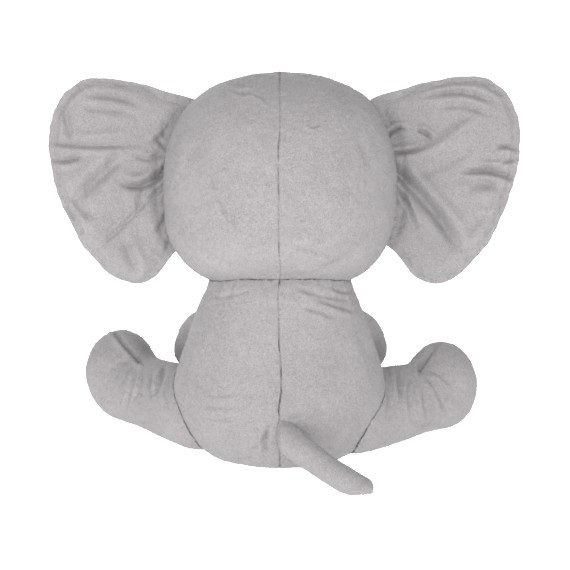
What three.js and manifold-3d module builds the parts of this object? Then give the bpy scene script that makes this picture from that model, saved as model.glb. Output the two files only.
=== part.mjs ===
// A seated plush elephant, built as it is sewn: covers, stuffing, a pellet bag, safety eyes and limbs.
// Millimetres, +Z up. The toy faces -Y, and its own left is +X. The origin is the seat panel's centre.
import * as THREE from "three";
import { mergeVertices } from "three/addons/utils/BufferGeometryUtils.js";
import Module from "manifold-3d";

const wasm = await Module();
wasm.setup();

// ---------------------------------------------------------------- driving dimensions
const FABRIC = 3; // thickness of the plush, pile included
const GAP = 0.3; // between pieces that touch
const FELT = 2; // thickness of soles, paw pads and the trunk's end disc
const SOCKET_GAP = 1.2; // between a limb's ball-shaped root and its seat
const AROUND = 20; // facets round a large form
const LEFT = 1; // the toy's own left, +X
const RIGHT = -1;
const deg = THREE.MathUtils.degToRad;
const v3 = (x, y, z) => new THREE.Vector3(x, y, z);
const X_AXIS = v3(1, 0, 0);
const Z_AXIS = v3(0, 0, 1);

const HEAD = {
  centre: v3(0, -18, 205),
  tilt: deg(18), // the crown leans forward
  halfWidth: 87,
  halfDepth: 73,
  top: { height: 82, power: 2.35 },
  bottom: { height: 77, power: 2.8 },
  faceSeamY: -38, // the face panel is in front of this plane of the head's own frame
};
const NECK = { pivot: v3(0, 3, 141), axis: X_AXIS, range: [-12, 12], clearance: 1.5 };
const TORSO = {
  // half width against height, from the seat to the neck
  profile: [
    [38, 0], [56, 7], [72, 24], [80.5, 42], [81.5, 55], [76, 74],
    [69, 96], [62, 116], [55, 132], [50, 146], [40, 156],
  ],
  depthRatio: 0.8,
  sideSeamY: -18, // the belly panel is in front of this plane
};
const PELLET_BAG = { halfWidth: 38, halfDepth: 29, height: 20, lift: 8 };
const WELL_RIM = 6; // left round the well that the bag goes in through
const EAR = {
  // outline of the sewn ear in its own plane: across, and up the head's axis, from the head's centre
  outline: [
    [56, 55], [92, 71], [122, 78.5], [151, 78], [170, 58], [175, 31], [167, -7],
    [147, -48], [121, -71], [100, -69.5], [83, -50], [67, -34],
  ],
  shift: { [LEFT]: -3.5, [RIGHT]: 4 }, // the two ears are not sewn on quite alike
  planeY: -12, // in front of the head's widest section
  hingeAcross: 89,
  batting: 2.6,
  range: [-30, 30],
  clearance: 2.5,
};
const ARM = {
  points: [v3(51, -40, 89), v3(60, -61, 74), v3(62, -78, 55)], // from the shoulder joint to the hand
  rootRadius: 16,
  handRadius: 19,
  padAt: 12, // past the hand's centre
  range: [0, 45], // forwards and up
};
const LEG = {
  root: { [LEFT]: v3(70, -14, 30.3), [RIGHT]: v3(-66, -4, 30.3) }, // the hip joint
  rootRadius: 30,
  ankleRadius: 27,
  ankleAt: 42, // from the hip, along the leg
  heelAt: 4, // behind the foot's centre
  footAt: { [LEFT]: 80, [RIGHT]: 75 },
  splay: { [LEFT]: deg(46), [RIGHT]: deg(37) }, // from straight out to the side, towards the front
  footTurn: deg(16), // the foot points further forward than the leg
  foot: { deep: 26, wide: 29, tall: 35, centreZ: { [LEFT]: 37.5, [RIGHT]: 35.5 }, soleAt: 15 },
  range: [0, 20], // up from the floor
};
const TRUNK = {
  points: [
    v3(0, -80, 176), v3(0, -104, 158), v3(0, -114, 132), v3(0, -119, 108), v3(0, -133, 92), v3(0, -149, 92),
  ],
  rootRadius: 25,
  tipRadius: 14.5,
  discAt: 6, // past the end of the line
  range: [-10, 30], // down and up
};
const TAIL = {
  points: [v3(-1, 60, 37), v3(-8, 73, 33), v3(-34, 88, 22), v3(-55, 100, 14)],
  rootRadius: 13,
  tipRadius: 11,
  mouthAt: 8, // the cover is open this far behind the root's centre
  range: [-20, 20], // from side to side
};
const EYE = {
  across: 0.44, // the way from the head's centre to the eye: sideways and up, for one forward
  rise: -0.02,
  radius: 7,
  rim: 0.8, // the dome's edge stands on the pile, and is this thick
  dome: 5.5,
  shank: 2.4,
  shankLength: 15,
  washer: 8,
  washerThick: 2,
  washerGap: 1.8, // a flat washer stands off the curved cloth
};

// ---------------------------------------------------------------- solids and geometry
function solidFrom(geometry) {
  const bare = new THREE.BufferGeometry();
  const plain = geometry.index ? geometry.toNonIndexed() : geometry;
  bare.setAttribute("position", plain.getAttribute("position"));
  const merged = mergeVertices(bare, 1e-3);
  const vertProperties = new Float32Array(merged.attributes.position.array);
  const make = (triVerts) => new wasm.Manifold(new wasm.Mesh({ numProp: 3, vertProperties, triVerts }));
  const triangles = new Uint32Array(merged.index.array);
  const solid = make(triangles);
  if (solid.volume() > 0) return solid;
  for (let i = 0; i < triangles.length; i += 3) {
    [triangles[i + 1], triangles[i + 2]] = [triangles[i + 2], triangles[i + 1]];
  }
  return make(triangles);
}

function geometryFrom(solid) {
  const mesh = solid.getMesh();
  const positions = new Float32Array(mesh.numVert * 3);
  for (let i = 0; i < mesh.numVert; i++) {
    positions.set(mesh.vertProperties.subarray(i * mesh.numProp, i * mesh.numProp + 3), i * 3);
  }
  const geometry = new THREE.BufferGeometry();
  geometry.setAttribute("position", new THREE.BufferAttribute(positions, 3));
  geometry.setIndex(new THREE.BufferAttribute(mesh.triVerts, 1));
  geometry.computeVertexNormals();
  return geometry;
}

function mapVertices(geometry, place) {
  const at = geometry.getAttribute("position");
  const p = v3(0, 0, 0);
  for (let i = 0; i < at.count; i++) {
    place(p.fromBufferAttribute(at, i));
    at.setXYZ(i, p.x, p.y, p.z);
  }
  return geometry;
}

const moved = (solid, matrix) => solid.transform(matrix.elements);

// A turn about a line through a point.
function turnAbout(point, axis, angle) {
  return new THREE.Matrix4()
    .makeTranslation(point.x, point.y, point.z)
    .multiply(new THREE.Matrix4().makeRotationAxis(axis, angle))
    .multiply(new THREE.Matrix4().makeTranslation(-point.x, -point.y, -point.z));
}

function box(low, high) {
  const size = high.clone().sub(low);
  const middle = low.clone().add(high).multiplyScalar(0.5);
  return solidFrom(new THREE.BoxGeometry(size.x, size.y, size.z).translate(middle.x, middle.y, middle.z));
}

// The half of space past a point, in a direction.
function beyond(point, direction, reach = 300) {
  const turn = new THREE.Quaternion().setFromUnitVectors(Z_AXIS, direction.clone().normalize());
  const slab = new THREE.BoxGeometry(reach, reach, reach).translate(0, 0, reach / 2).applyQuaternion(turn);
  return solidFrom(slab.translate(point.x, point.y, point.z));
}

const STEEP = 0.05; // a line this near to vertical takes X for its sideways direction

// A round body along a curve. Its start is a ball of the root radius about the curve's first point.
function limb({ points, rootRadius, endRadius, inset, around = 12, rings = 9 }) {
  const curve = new THREE.CatmullRomCurve3(points);
  const root = rootRadius - inset;
  const end = endRadius - inset;
  const first = curve.getPointAt(0);
  const start = curve.getTangentAt(0);
  const length = curve.getLength();
  const span = root + length + end;
  const last = curve.getPointAt(1);
  const finish = curve.getTangentAt(1);
  const shape = new THREE.SphereGeometry(1, around, rings).rotateX(Math.PI / 2);
  return solidFrom(
    mapVertices(shape, (p) => {
      const turn = Math.atan2(p.y, p.x);
      // along runs from -root, through 0 at the first point, to the end radius past the last
      const along = ((1 - p.z) / 2) * span - root;
      const share = THREE.MathUtils.clamp(along / length, 0, 1);
      const centre = curve.getPointAt(share);
      const tangent = curve.getTangentAt(share);
      let radius = THREE.MathUtils.lerp(root, end, THREE.MathUtils.smoothstep(share, 0, 1));
      if (along < 0) {
        centre.copy(first).addScaledVector(start, along);
        radius = Math.sqrt(Math.max(0, root * root - along * along));
      } else if (along > length) {
        centre.copy(last).addScaledVector(finish, along - length);
        radius = Math.sqrt(Math.max(0, end * end - (along - length) ** 2));
      }
      const side = Z_AXIS.clone().cross(tangent);
      if (side.lengthSq() < STEEP) side.copy(X_AXIS);
      side.addScaledVector(tangent, -side.dot(tangent)).normalize();
      const up = tangent.clone().cross(side);
      side.multiplyScalar(radius * Math.cos(turn));
      p.copy(centre).add(side).addScaledVector(up, radius * Math.sin(turn));
    }),
  );
}

// ---------------------------------------------------------------- head
const headFrame = new THREE.Matrix4()
  .makeTranslation(HEAD.centre.x, HEAD.centre.y, HEAD.centre.z)
  .multiply(new THREE.Matrix4().makeRotationX(HEAD.tilt));

function headPlace(p, inset) {
  const half = p.z >= 0 ? HEAD.top : HEAD.bottom;
  const rise = Math.abs(p.z) ** (2 / half.power) * (half.height - inset) * Math.sign(p.z);
  const flat = Math.hypot(p.x, p.y);
  const reach = flat > 1e-9 ? flat ** (2 / half.power) / flat : 0;
  return p.set(p.x * reach * (HEAD.halfWidth - inset), p.y * reach * (HEAD.halfDepth - inset), rise);
}

function headSolid(inset) {
  const shape = new THREE.SphereGeometry(1, AROUND, 12).rotateX(Math.PI / 2);
  return moved(solidFrom(mapVertices(shape, (p) => headPlace(p, inset))), headFrame);
}

// ---------------------------------------------------------------- torso
function torsoSolid(inset) {
  const rims = TORSO.profile.map(([r, z]) => v3(r, z, 0));
  const curve = new THREE.CatmullRomCurve3(rims, false, "centripetal");
  const outline = curve.getSpacedPoints(12).map((p, i, all) => {
    const before = all[Math.max(i - 1, 0)];
    const after = all[Math.min(i + 1, all.length - 1)];
    const along = after.clone().sub(before).normalize();
    const z = i === 0 ? inset : p.y + along.x * inset;
    return new THREE.Vector2(p.x - along.y * inset, Math.max(z, inset));
  });
  const top = outline[outline.length - 1];
  const closed = [new THREE.Vector2(0, inset), ...outline, new THREE.Vector2(0, top.y + FABRIC)];
  const shape = new THREE.LatheGeometry(closed, AROUND).rotateX(Math.PI / 2);
  return solidFrom(shape.scale(1, TORSO.depthRatio, 1));
}

// ---------------------------------------------------------------- limbs
const mirrored = (p, side) => v3(p.x * side, p.y, p.z);

function armSolid(side, inset) {
  const points = ARM.points.map((p) => mirrored(p, side));
  return limb({ points, rootRadius: ARM.rootRadius, endRadius: ARM.handRadius, inset, around: 10, rings: 8 });
}

function legFrame(side) {
  const splay = LEG.splay[side];
  const root = LEG.root[side];
  const along = v3(Math.cos(splay) * side, -Math.sin(splay), 0);
  const footWay = splay + LEG.footTurn;
  const ahead = v3(Math.cos(footWay) * side, -Math.sin(footWay), 0);
  const foot = root.clone().addScaledVector(along, LEG.footAt[side]);
  foot.z = LEG.foot.centreZ[side];
  return { root, along, ahead, foot };
}

function legLine(side) {
  const { root, along } = legFrame(side);
  const ankle = root.clone().addScaledVector(along, LEG.ankleAt);
  ankle.z = (LEG.rootRadius + LEG.ankleRadius) / 2 + GAP;
  const heel = root.clone().addScaledVector(along, LEG.footAt[side] - LEG.heelAt);
  heel.z = LEG.ankleRadius + GAP;
  return [root, ankle, heel];
}

function legSolid(side, inset) {
  const { ahead, foot } = legFrame(side);
  const shin = limb({ points: legLine(side), rootRadius: LEG.rootRadius, endRadius: LEG.ankleRadius, inset });
  const { deep, wide, tall } = LEG.foot;
  const turn = new THREE.Matrix4().makeBasis(v3(-ahead.y, ahead.x, 0), ahead, Z_AXIS);
  const shape = new THREE.SphereGeometry(1, 14, 8).scale(wide - inset, deep - inset, tall - inset);
  const bulb = solidFrom(shape.applyMatrix4(turn).translate(foot.x, foot.y, foot.z));
  return shin.add(bulb);
}

const trunkSolid = (inset) =>
  limb({
    points: TRUNK.points,
    rootRadius: TRUNK.rootRadius,
    endRadius: TRUNK.tipRadius,
    inset,
    around: 12,
    rings: 13,
  });

const tailSolid = (inset) =>
  limb({ points: TAIL.points, rootRadius: TAIL.rootRadius, endRadius: TAIL.tipRadius, inset, around: 10 });

// ---------------------------------------------------------------- ears
function earSlab(side, low, high) {
  const points = EAR.outline.map(([x, h]) => v3((x + EAR.shift[side]) * side, h, 0));
  const outline = new THREE.CatmullRomCurve3(points, true, "centripetal").getSpacedPoints(36).slice(0, -1);
  const shape = new THREE.Shape(outline.map((p) => new THREE.Vector2(p.x, p.y)));
  const slab = new THREE.ExtrudeGeometry(shape, { depth: high - low, bevelEnabled: false });
  // the outline's up is the head's axis, and the slab's depth runs forward from its back face
  slab.rotateX(Math.PI / 2).translate(0, EAR.planeY - low, 0);
  return moved(solidFrom(slab), headFrame);
}

function earJoint(side) {
  const pivot = v3(EAR.hingeAcross * side, EAR.planeY, 0).applyMatrix4(headFrame);
  return { pivot, axis: Z_AXIS.clone().transformDirection(headFrame), range: EAR.range };
}

// ---------------------------------------------------------------- eyes
// Where an eye sits on the face: its point on the cover's surface and the way out.
function eyeSeat(side) {
  const way = v3(EYE.across * side, -1, EYE.rise).normalize();
  const step = 1e-3;
  const at = (dx, dz) => headPlace(way.clone().add(v3(dx, 0, dz)).normalize(), 0).applyMatrix4(headFrame);
  const point = at(0, 0);
  const across = at(step, 0).sub(point);
  const up = at(0, step).sub(point);
  const out = across.cross(up).normalize();
  return { point, out };
}

function roundStack(seat, profile, around = 12) {
  const shape = new THREE.LatheGeometry(profile.map(([r, h]) => new THREE.Vector2(r, h)), around);
  const turn = new THREE.Quaternion().setFromUnitVectors(v3(0, 1, 0), seat.out);
  return solidFrom(shape.applyQuaternion(turn).translate(seat.point.x, seat.point.y, seat.point.z));
}

function eyeSolid(seat) {
  const { radius, rim, dome, shank, shankLength } = EYE;
  const foot = rim - shankLength;
  const edge = 2 * rim;
  const arc = [0.25, 0.5, 0.75].map((t) => {
    const a = (t * Math.PI) / 2;
    return [radius * Math.cos(a), edge + dome * Math.sin(a)];
  });
  const stem = [[0, foot], [shank, foot], [shank, rim], [radius, rim], [radius, edge]];
  return roundStack(seat, [...stem, ...arc, [0, edge + dome]]);
}

const WASHER_BACK = -(FABRIC + EYE.washerGap + EYE.washerThick); // from the cover's surface, inwards

function washerSolid(seat) {
  const inner = EYE.shank + GAP;
  const top = WASHER_BACK + EYE.washerThick;
  return roundStack(seat, [
    [inner, WASHER_BACK], [EYE.washer, WASHER_BACK], [EYE.washer, top], [inner, top], [inner, WASHER_BACK],
  ]);
}

// ---------------------------------------------------------------- materials
const plush = new THREE.MeshStandardMaterial({ color: 0xb4b0b1, roughness: 0.95, metalness: 0 });
const lining = new THREE.MeshStandardMaterial({ color: 0xcbc7c8, roughness: 0.9, metalness: 0 });
const pad = new THREE.MeshStandardMaterial({ color: 0xc9c5c6, roughness: 0.92, metalness: 0 });
const fibre = new THREE.MeshStandardMaterial({ color: 0xf1efec, roughness: 1, metalness: 0 });
const muslin = new THREE.MeshStandardMaterial({ color: 0xe6e0d4, roughness: 0.95, metalness: 0 });
const blackPlastic = new THREE.MeshStandardMaterial({ color: 0x0c0b0c, roughness: 0.12, metalness: 0 });
const whitePlastic = new THREE.MeshStandardMaterial({ color: 0xdedede, roughness: 0.5, metalness: 0 });

const elephant = new THREE.Group();
function addPiece(name, solid, material) {
  const mesh = new THREE.Mesh(geometryFrom(solid), material);
  mesh.name = name;
  elephant.add(mesh);
}

// ---------------------------------------------------------------- assembly: torso
const sides = { left: LEFT, right: RIGHT };
const sideList = Object.entries(sides);
const INNER = FABRIC + GAP; // stuffing lies this far under the outer surface

// The space that a moving form takes as it turns through its range.
function sweep(solid, joint, steps) {
  const [low, high] = joint.range;
  return Array.from({ length: steps }, (_, i) => {
    const angle = deg(THREE.MathUtils.lerp(low, high, i / (steps - 1)));
    return moved(solid, turnAbout(joint.pivot, joint.axis, angle));
  });
}

// A plain form with room round a limb's first length, for cutting its seat.
function seatCutter(points, radius) {
  const around = 8;
  const room = (radius + SOCKET_GAP) / Math.cos(Math.PI / around);
  return limb({ points, rootRadius: room, endRadius: room, inset: 0, around, rings: 6 });
}

const without = (solid, cuts) => cuts.reduce((left, cut) => left.subtract(cut), solid);

function limbJoints(side) {
  const { root, along } = legFrame(side);
  const arm = { pivot: mirrored(ARM.points[0], side), axis: v3(-1, 0, 0), range: ARM.range };
  const leg = { pivot: root, axis: along.clone().cross(Z_AXIS), range: LEG.range };
  return { arm, leg };
}

const tailJoint = { pivot: TAIL.points[0], axis: Z_AXIS, range: TAIL.range };
const torsoCuts = [
  ...sweep(headSolid(-NECK.clearance), NECK, 3),
  ...sweep(seatCutter(TAIL.points.slice(0, 3), TAIL.rootRadius + GAP), tailJoint, 3),
  ...sideList.flatMap(([, side]) => {
    const { arm, leg } = limbJoints(side);
    const armPoints = ARM.points.map((p) => mirrored(p, side));
    const legPoints = legLine(side).slice(0, 2);
    const armCutter = seatCutter(armPoints, (ARM.rootRadius + ARM.handRadius) / 2);
    return [...sweep(armCutter, arm, 3), ...sweep(seatCutter(legPoints, LEG.rootRadius), leg, 2)];
  }),
];

const seatRim = { x: TORSO.profile[0][0], y: TORSO.profile[0][0] * TORSO.depthRatio };
function seatDisc(grow, low, high) {
  const disc = new THREE.CylinderGeometry(1, 1, high - low, AROUND).rotateX(Math.PI / 2);
  disc.scale(seatRim.x + grow, seatRim.y + grow, 1);
  return solidFrom(disc.translate(0, 0, (low + high) / 2));
}

const torsoShell = without(torsoSolid(0), [torsoSolid(FABRIC), seatDisc(0, -1, FABRIC + 1), ...torsoCuts]);
const FAR = 400;
const behindSeam = TORSO.sideSeamY + GAP / 2;
const aheadSeam = TORSO.sideSeamY - GAP / 2;
const largest = (solid) => solid.decompose().sort((a, b) => b.volume() - a.volume())[0];
const keep = (solid, low, high) => largest(solid.intersect(box(low, high)));

addPiece("torso_cover_left", keep(torsoShell, v3(GAP / 2, behindSeam, -1), v3(FAR, FAR, FAR)), plush);
addPiece("torso_cover_right", keep(torsoShell, v3(-FAR, behindSeam, -1), v3(-GAP / 2, FAR, FAR)), plush);
addPiece("torso_cover_belly", keep(torsoShell, v3(-FAR, -FAR, -1), v3(FAR, aheadSeam, FAR)), plush);
addPiece("torso_seat_panel", seatDisc(-GAP, 0, FABRIC), plush);

function pelletBag(grow) {
  const { halfWidth, halfDepth, height, lift } = PELLET_BAG;
  const shape = new THREE.SphereGeometry(1, 16, 8).rotateX(Math.PI / 2);
  shape.scale(halfWidth + grow, halfDepth + grow, height / 2 + grow);
  return solidFrom(shape.translate(0, 0, lift + height / 2));
}
const bagWell = seatDisc(-WELL_RIM, -1, PELLET_BAG.lift + PELLET_BAG.height / 2);
addPiece("pellet_bag", pelletBag(0), muslin);
const torsoFill = without(torsoSolid(INNER), [pelletBag(GAP), bagWell, ...torsoCuts]);
addPiece("torso_stuffing", largest(torsoFill), fibre);

// ---------------------------------------------------------------- assembly: head
const headBox = (low, high) => moved(box(low, high), headFrame);
const trunkJoint = { pivot: TRUNK.points[0], axis: v3(-1, 0, 0), range: TRUNK.range };
const trunkSeat = sweep(seatCutter(TRUNK.points.slice(0, 2), TRUNK.rootRadius), trunkJoint, 3);
const seats = sideList.map(([name, side]) => ({ name, ...eyeSeat(side) }));
// A round hole along an eye's own axis, from a depth under the cover's surface to clear of the pile.
const eyeHole = (seat, radius, depth) =>
  roundStack(seat, [[0, depth], [radius, depth], [radius, FABRIC], [0, FABRIC]]);
const shankHoles = seats.map((seat) => eyeHole(seat, EYE.shank + GAP, -EYE.shankLength - FELT));
const headShell = without(headSolid(0), [headSolid(FABRIC), ...trunkSeat, ...shankHoles]);
const faceCut = { behind: HEAD.faceSeamY + GAP / 2, ahead: HEAD.faceSeamY - GAP / 2 };
const headPart = (low, high) => largest(headShell.intersect(headBox(low, high)));

addPiece("head_cover_left", headPart(v3(GAP / 2, faceCut.behind, -FAR), v3(FAR, FAR, FAR)), plush);
addPiece("head_cover_right", headPart(v3(-FAR, faceCut.behind, -FAR), v3(-GAP / 2, FAR, FAR)), plush);
addPiece("face_panel", headPart(v3(-FAR, -FAR, -FAR), v3(FAR, faceCut.ahead, FAR)), plush);

const washerRooms = seats.map((seat) => eyeHole(seat, EYE.washer + GAP, WASHER_BACK - GAP));
for (const seat of seats) {
  addPiece(`eye_${seat.name}`, eyeSolid(seat), blackPlastic);
  addPiece(`eye_washer_${seat.name}`, washerSolid(seat), whitePlastic);
}
const headFill = without(headSolid(INNER), [...trunkSeat, ...shankHoles, ...washerRooms]);
addPiece("head_stuffing", largest(headFill), fibre);

// ---------------------------------------------------------------- assembly: trunk
const trunkEnd = TRUNK.points[TRUNK.points.length - 1];
const trunkWay = trunkEnd.clone().sub(TRUNK.points[TRUNK.points.length - 2]).normalize();
const pastTrunk = (extra) =>
  beyond(trunkEnd.clone().addScaledVector(trunkWay, TRUNK.discAt + extra), trunkWay);
addPiece("trunk_cover", without(trunkSolid(0), [trunkSolid(FABRIC), pastTrunk(0)]), plush);
addPiece("trunk_stuffing", trunkSolid(INNER).subtract(pastTrunk(-GAP)), fibre);
const trunkTip = trunkSolid(0).intersect(pastTrunk(GAP));
addPiece("trunk_end_disc", largest(trunkTip.subtract(pastTrunk(GAP + FELT))), pad);

// ---------------------------------------------------------------- assembly: ears
for (const [name, side] of sideList) {
  const cuts = sweep(headSolid(-EAR.clearance), earJoint(side), 5);
  const fit = (slab) => largest(without(slab, cuts));
  const half = EAR.batting / 2;
  const outer = half + GAP + FABRIC;
  addPiece(`ear_back_${name}`, fit(earSlab(side, -outer, -half - GAP)), plush);
  addPiece(`ear_batting_${name}`, fit(earSlab(side, -half, half)), fibre);
  addPiece(`ear_lining_${name}`, fit(earSlab(side, half + GAP, outer)), lining);
}

// ---------------------------------------------------------------- assembly: arms and legs
for (const [name, side] of sideList) {
  const hand = mirrored(ARM.points[ARM.points.length - 1], side);
  const wrist = mirrored(ARM.points[ARM.points.length - 2], side);
  const reach = hand.clone().sub(wrist).normalize();
  const pastHand = (extra) => beyond(hand.clone().addScaledVector(reach, ARM.padAt + extra), reach);
  const sleeve = without(armSolid(side, 0), [armSolid(side, FABRIC), pastHand(0)]);
  addPiece(`arm_cover_${name}`, sleeve, plush);
  addPiece(`arm_stuffing_${name}`, armSolid(side, INNER).subtract(pastHand(-GAP)), fibre);
  const handEnd = armSolid(side, 0).intersect(pastHand(GAP));
  addPiece(`arm_pad_${name}`, largest(handEnd.subtract(pastHand(GAP + FELT))), pad);

  const { ahead, foot } = legFrame(side);
  const pastFoot = (extra) => beyond(foot.clone().addScaledVector(ahead, LEG.foot.soleAt + extra), ahead);
  const stocking = without(legSolid(side, 0), [legSolid(side, FABRIC), pastFoot(0)]);
  addPiece(`leg_cover_${name}`, stocking, plush);
  addPiece(`leg_stuffing_${name}`, legSolid(side, INNER).subtract(pastFoot(-GAP)), fibre);
  const footEnd = legSolid(side, 0).intersect(pastFoot(GAP));
  addPiece(`leg_sole_${name}`, largest(footEnd.subtract(pastFoot(GAP + FELT))), pad);
}

// ---------------------------------------------------------------- assembly: tail
const tailStart = TAIL.points[1].clone().sub(TAIL.points[0]).normalize();
const tailMouth = TAIL.points[0].clone().addScaledVector(tailStart, -TAIL.mouthAt);
const tailCuts = [tailSolid(FABRIC), beyond(tailMouth, tailStart.clone().negate())];
addPiece("tail_cover", without(tailSolid(0), tailCuts), plush);
addPiece("tail_stuffing", tailSolid(INNER), fibre);

export default elephant;
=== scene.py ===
"""Visual model of the seated plush elephant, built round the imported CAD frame.

Shapes are worked out in millimetres in the frame's own axes (+Z up, the toy faces -Y, its own left is +X)
and stored in metres. "Left" and "right" are the toy's own.
"""

import math
from contextlib import contextmanager

import bmesh
import bpy
import numpy as np
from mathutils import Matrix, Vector
from mathutils.bvhtree import BVHTree
from mathutils.geometry import delaunay_2d_cdt


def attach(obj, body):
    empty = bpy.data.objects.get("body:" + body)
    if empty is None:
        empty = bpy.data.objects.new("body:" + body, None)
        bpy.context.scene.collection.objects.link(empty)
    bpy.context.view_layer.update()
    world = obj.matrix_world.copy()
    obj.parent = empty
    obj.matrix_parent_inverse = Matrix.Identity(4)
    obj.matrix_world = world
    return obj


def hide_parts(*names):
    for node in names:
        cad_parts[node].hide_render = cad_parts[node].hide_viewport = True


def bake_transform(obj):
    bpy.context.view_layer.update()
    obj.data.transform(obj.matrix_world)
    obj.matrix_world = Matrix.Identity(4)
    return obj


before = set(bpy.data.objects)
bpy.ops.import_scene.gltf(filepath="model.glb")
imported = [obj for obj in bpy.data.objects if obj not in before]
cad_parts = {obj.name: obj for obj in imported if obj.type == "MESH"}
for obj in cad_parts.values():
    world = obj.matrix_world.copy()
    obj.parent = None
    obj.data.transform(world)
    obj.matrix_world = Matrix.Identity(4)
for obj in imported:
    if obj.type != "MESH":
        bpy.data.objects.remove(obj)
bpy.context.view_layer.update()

MM = 0.001
LEFT, RIGHT = 1, -1
SIDES = {"left": LEFT, "right": RIGHT}

# ---------------- the toy's measures
# They are the CAD's, a little fuller where stuffed cloth bulges past its plain solid.
HEAD_CENTRE = np.array([0, -18, 205.0])
HEAD_TILT = math.radians(18)
HEAD_HALF = {"wide": 87.4, "deep": 73.4, "top": 84.6, "bottom": 77.4}
HEAD_POWER = {"top": 2.35, "bottom": 2.8}
FACE_SEAM_Y = -38
TORSO_PROFILE = [
    (43, 0), (60.5, 6.5), (74, 24), (80.5, 42), (81.5, 55), (76, 74),
    (69, 96), (62, 116), (55, 132), (50, 146), (40, 156),
]
TORSO_DEPTH = 0.8
SIDE_SEAM_Y = -18
EAR_OUTLINE = [
    (56, 55), (92, 71), (122, 78.5), (151, 78), (170, 58), (175, 31), (167, -7),
    (147, -48), (121, -71), (100, -69.5), (83, -50), (67, -34),
]
EAR_SHIFT = {LEFT: -3.5, RIGHT: 4}
EAR_PLANE_Y = -12
ARM_POINTS = [(51, -40, 89), (61, -60, 73), (64.5, -76, 55)]
ARM_RADII = (16.5, 20.5)
LEG_ROOT = {LEFT: (70, -14, 31.5), RIGHT: (-66, -4, 32)}
LEG_RADII = (31.5, 27.5)
LEG_SPLAY = {LEFT: math.radians(46), RIGHT: math.radians(37)}
ANKLE_AT, FOOT_AT, HEEL_AT = 42, {LEFT: 80, RIGHT: 75}, 4
FOOT_TURN = math.radians(16)
FOOT_HALF = {"deep": 27.5, "wide": 30, "tall": 36}
FOOT_Z = {LEFT: 37.5, RIGHT: 35.5}
SOLE_AT = 15
TRUNK_POINTS = [(0, -80, 176), (0, -104, 158), (0, -114, 132), (0, -119, 108), (0, -133, 92), (0, -149, 92)]
TRUNK_RADII = (25, 14.5)
TAIL_POINTS = [(5, 57, 43), (-17, 78, 32), (-38.6, 91, 20.5), (-61, 101, 10.5)]
TAIL_RADII = (11.8, 10)


# ---------------- small maths
def unit(v):
    v = np.asarray(v, float)
    return v / np.linalg.norm(v)


def smoothstep(low, high, x):
    t = np.clip((x - low) / (high - low), 0, 1)
    return t * t * (3 - 2 * t)


def hashed(i, j, k, seed):
    """A number from -1 to 1 for each lattice point."""
    with np.errstate(over="ignore"):
        h = i * np.uint64(73856093) ^ j * np.uint64(19349663) ^ k * np.uint64(83492791)
        h ^= np.uint64(seed * 2654435761)
        h ^= h >> np.uint64(15)
        h *= np.uint64(2246822519)
        h ^= h >> np.uint64(13)
        h *= np.uint64(3266489917)
        h ^= h >> np.uint64(16)
    return (h % np.uint64(65536)).astype(float) / 32767.5 - 1


def value_noise(points, size, seed):
    """Smooth noise from -1 to 1, with features about size across."""
    p = np.asarray(points, float) / size + 1000
    base = np.floor(p)
    t = p - base
    t = t * t * (3 - 2 * t)
    i, j, k = (base[:, a].astype(np.uint64) for a in range(3))
    total = 0
    for di in (0, 1):
        for dj in (0, 1):
            for dk in (0, 1):
                weight = (t[:, 0] if di else 1 - t[:, 0]) * (t[:, 1] if dj else 1 - t[:, 1])
                weight = weight * (t[:, 2] if dk else 1 - t[:, 2])
                corner = (i + np.uint64(di), j + np.uint64(dj), k + np.uint64(dk))
                total = total + weight * hashed(*corner, seed)
    return total


def noise_2d(x, y, size, seed):
    return value_noise(np.stack([x, y, x * 0], 1), size, seed)


def noise_1d(x, size, seed):
    return noise_2d(x, x * 0, size, seed)


def bell(x, width):
    """1 where x is 0, falling smoothly to 0 about two widths away."""
    return np.exp(-((x / width) ** 2))


def spot(points2, centre, size):
    """1 at a centre in a plane, falling smoothly to 0, with its own size in each direction."""
    off = (points2 - centre) / size
    return np.exp(-(off[:, 0] ** 2) - off[:, 1] ** 2)


def distances(line):
    """How far along a line of points each of them is."""
    return np.concatenate([[0], np.cumsum(np.linalg.norm(np.diff(line, axis=0), axis=1))])


def interpolated(at, run, values):
    """Rows of values, given at the distances run, at other distances."""
    return np.stack([np.interp(at, run, values[:, a]) for a in range(values.shape[1])], -1)


def catmull(points, count, closed=False):
    """Points evenly spaced along a smooth line, a centripetal Catmull-Rom one, through the given points."""
    p = np.asarray(points, float)
    if closed:
        ext = np.vstack([p[-1], p, p[0], p[1]])
    else:
        ext = np.vstack([2 * p[0] - p[1], p, 2 * p[-1] - p[-2]])
    fine = []
    share = np.linspace(0, 1, 40, endpoint=False)[:, None]
    for s in range(len(ext) - 3):
        a, b, c, d = ext[s : s + 4]
        ta = 0.0
        tb, tc, td = np.cumsum([math.sqrt(np.linalg.norm(v)) for v in (b - a, c - b, d - c)])
        t = tb + (tc - tb) * share
        ab = ((tb - t) * a + (t - ta) * b) / (tb - ta)
        bc = ((tc - t) * b + (t - tb) * c) / (tc - tb)
        cd = ((td - t) * c + (t - tc) * d) / (td - tc)
        abc = ((tc - t) * ab + (t - ta) * bc) / (tc - ta)
        bcd = ((td - t) * bc + (t - tb) * cd) / (td - tb)
        fine.append(((tc - t) * abc + (t - tb) * bcd) / (tc - tb))
    fine = np.vstack([*fine, ext[1] if closed else ext[-2]])
    run = distances(fine)
    out = interpolated(np.linspace(0, run[-1], count + 1 if closed else count), run, fine)
    return out[:-1] if closed else out


def head_to_frame(p):
    """From the head's own axes, origin at its centre, to the frame's."""
    c, s = math.cos(HEAD_TILT), math.sin(HEAD_TILT)
    x, y, z = np.moveaxis(np.asarray(p, float), -1, 0)
    return np.stack([x, c * y - s * z, s * y + c * z], -1) + HEAD_CENTRE


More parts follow.
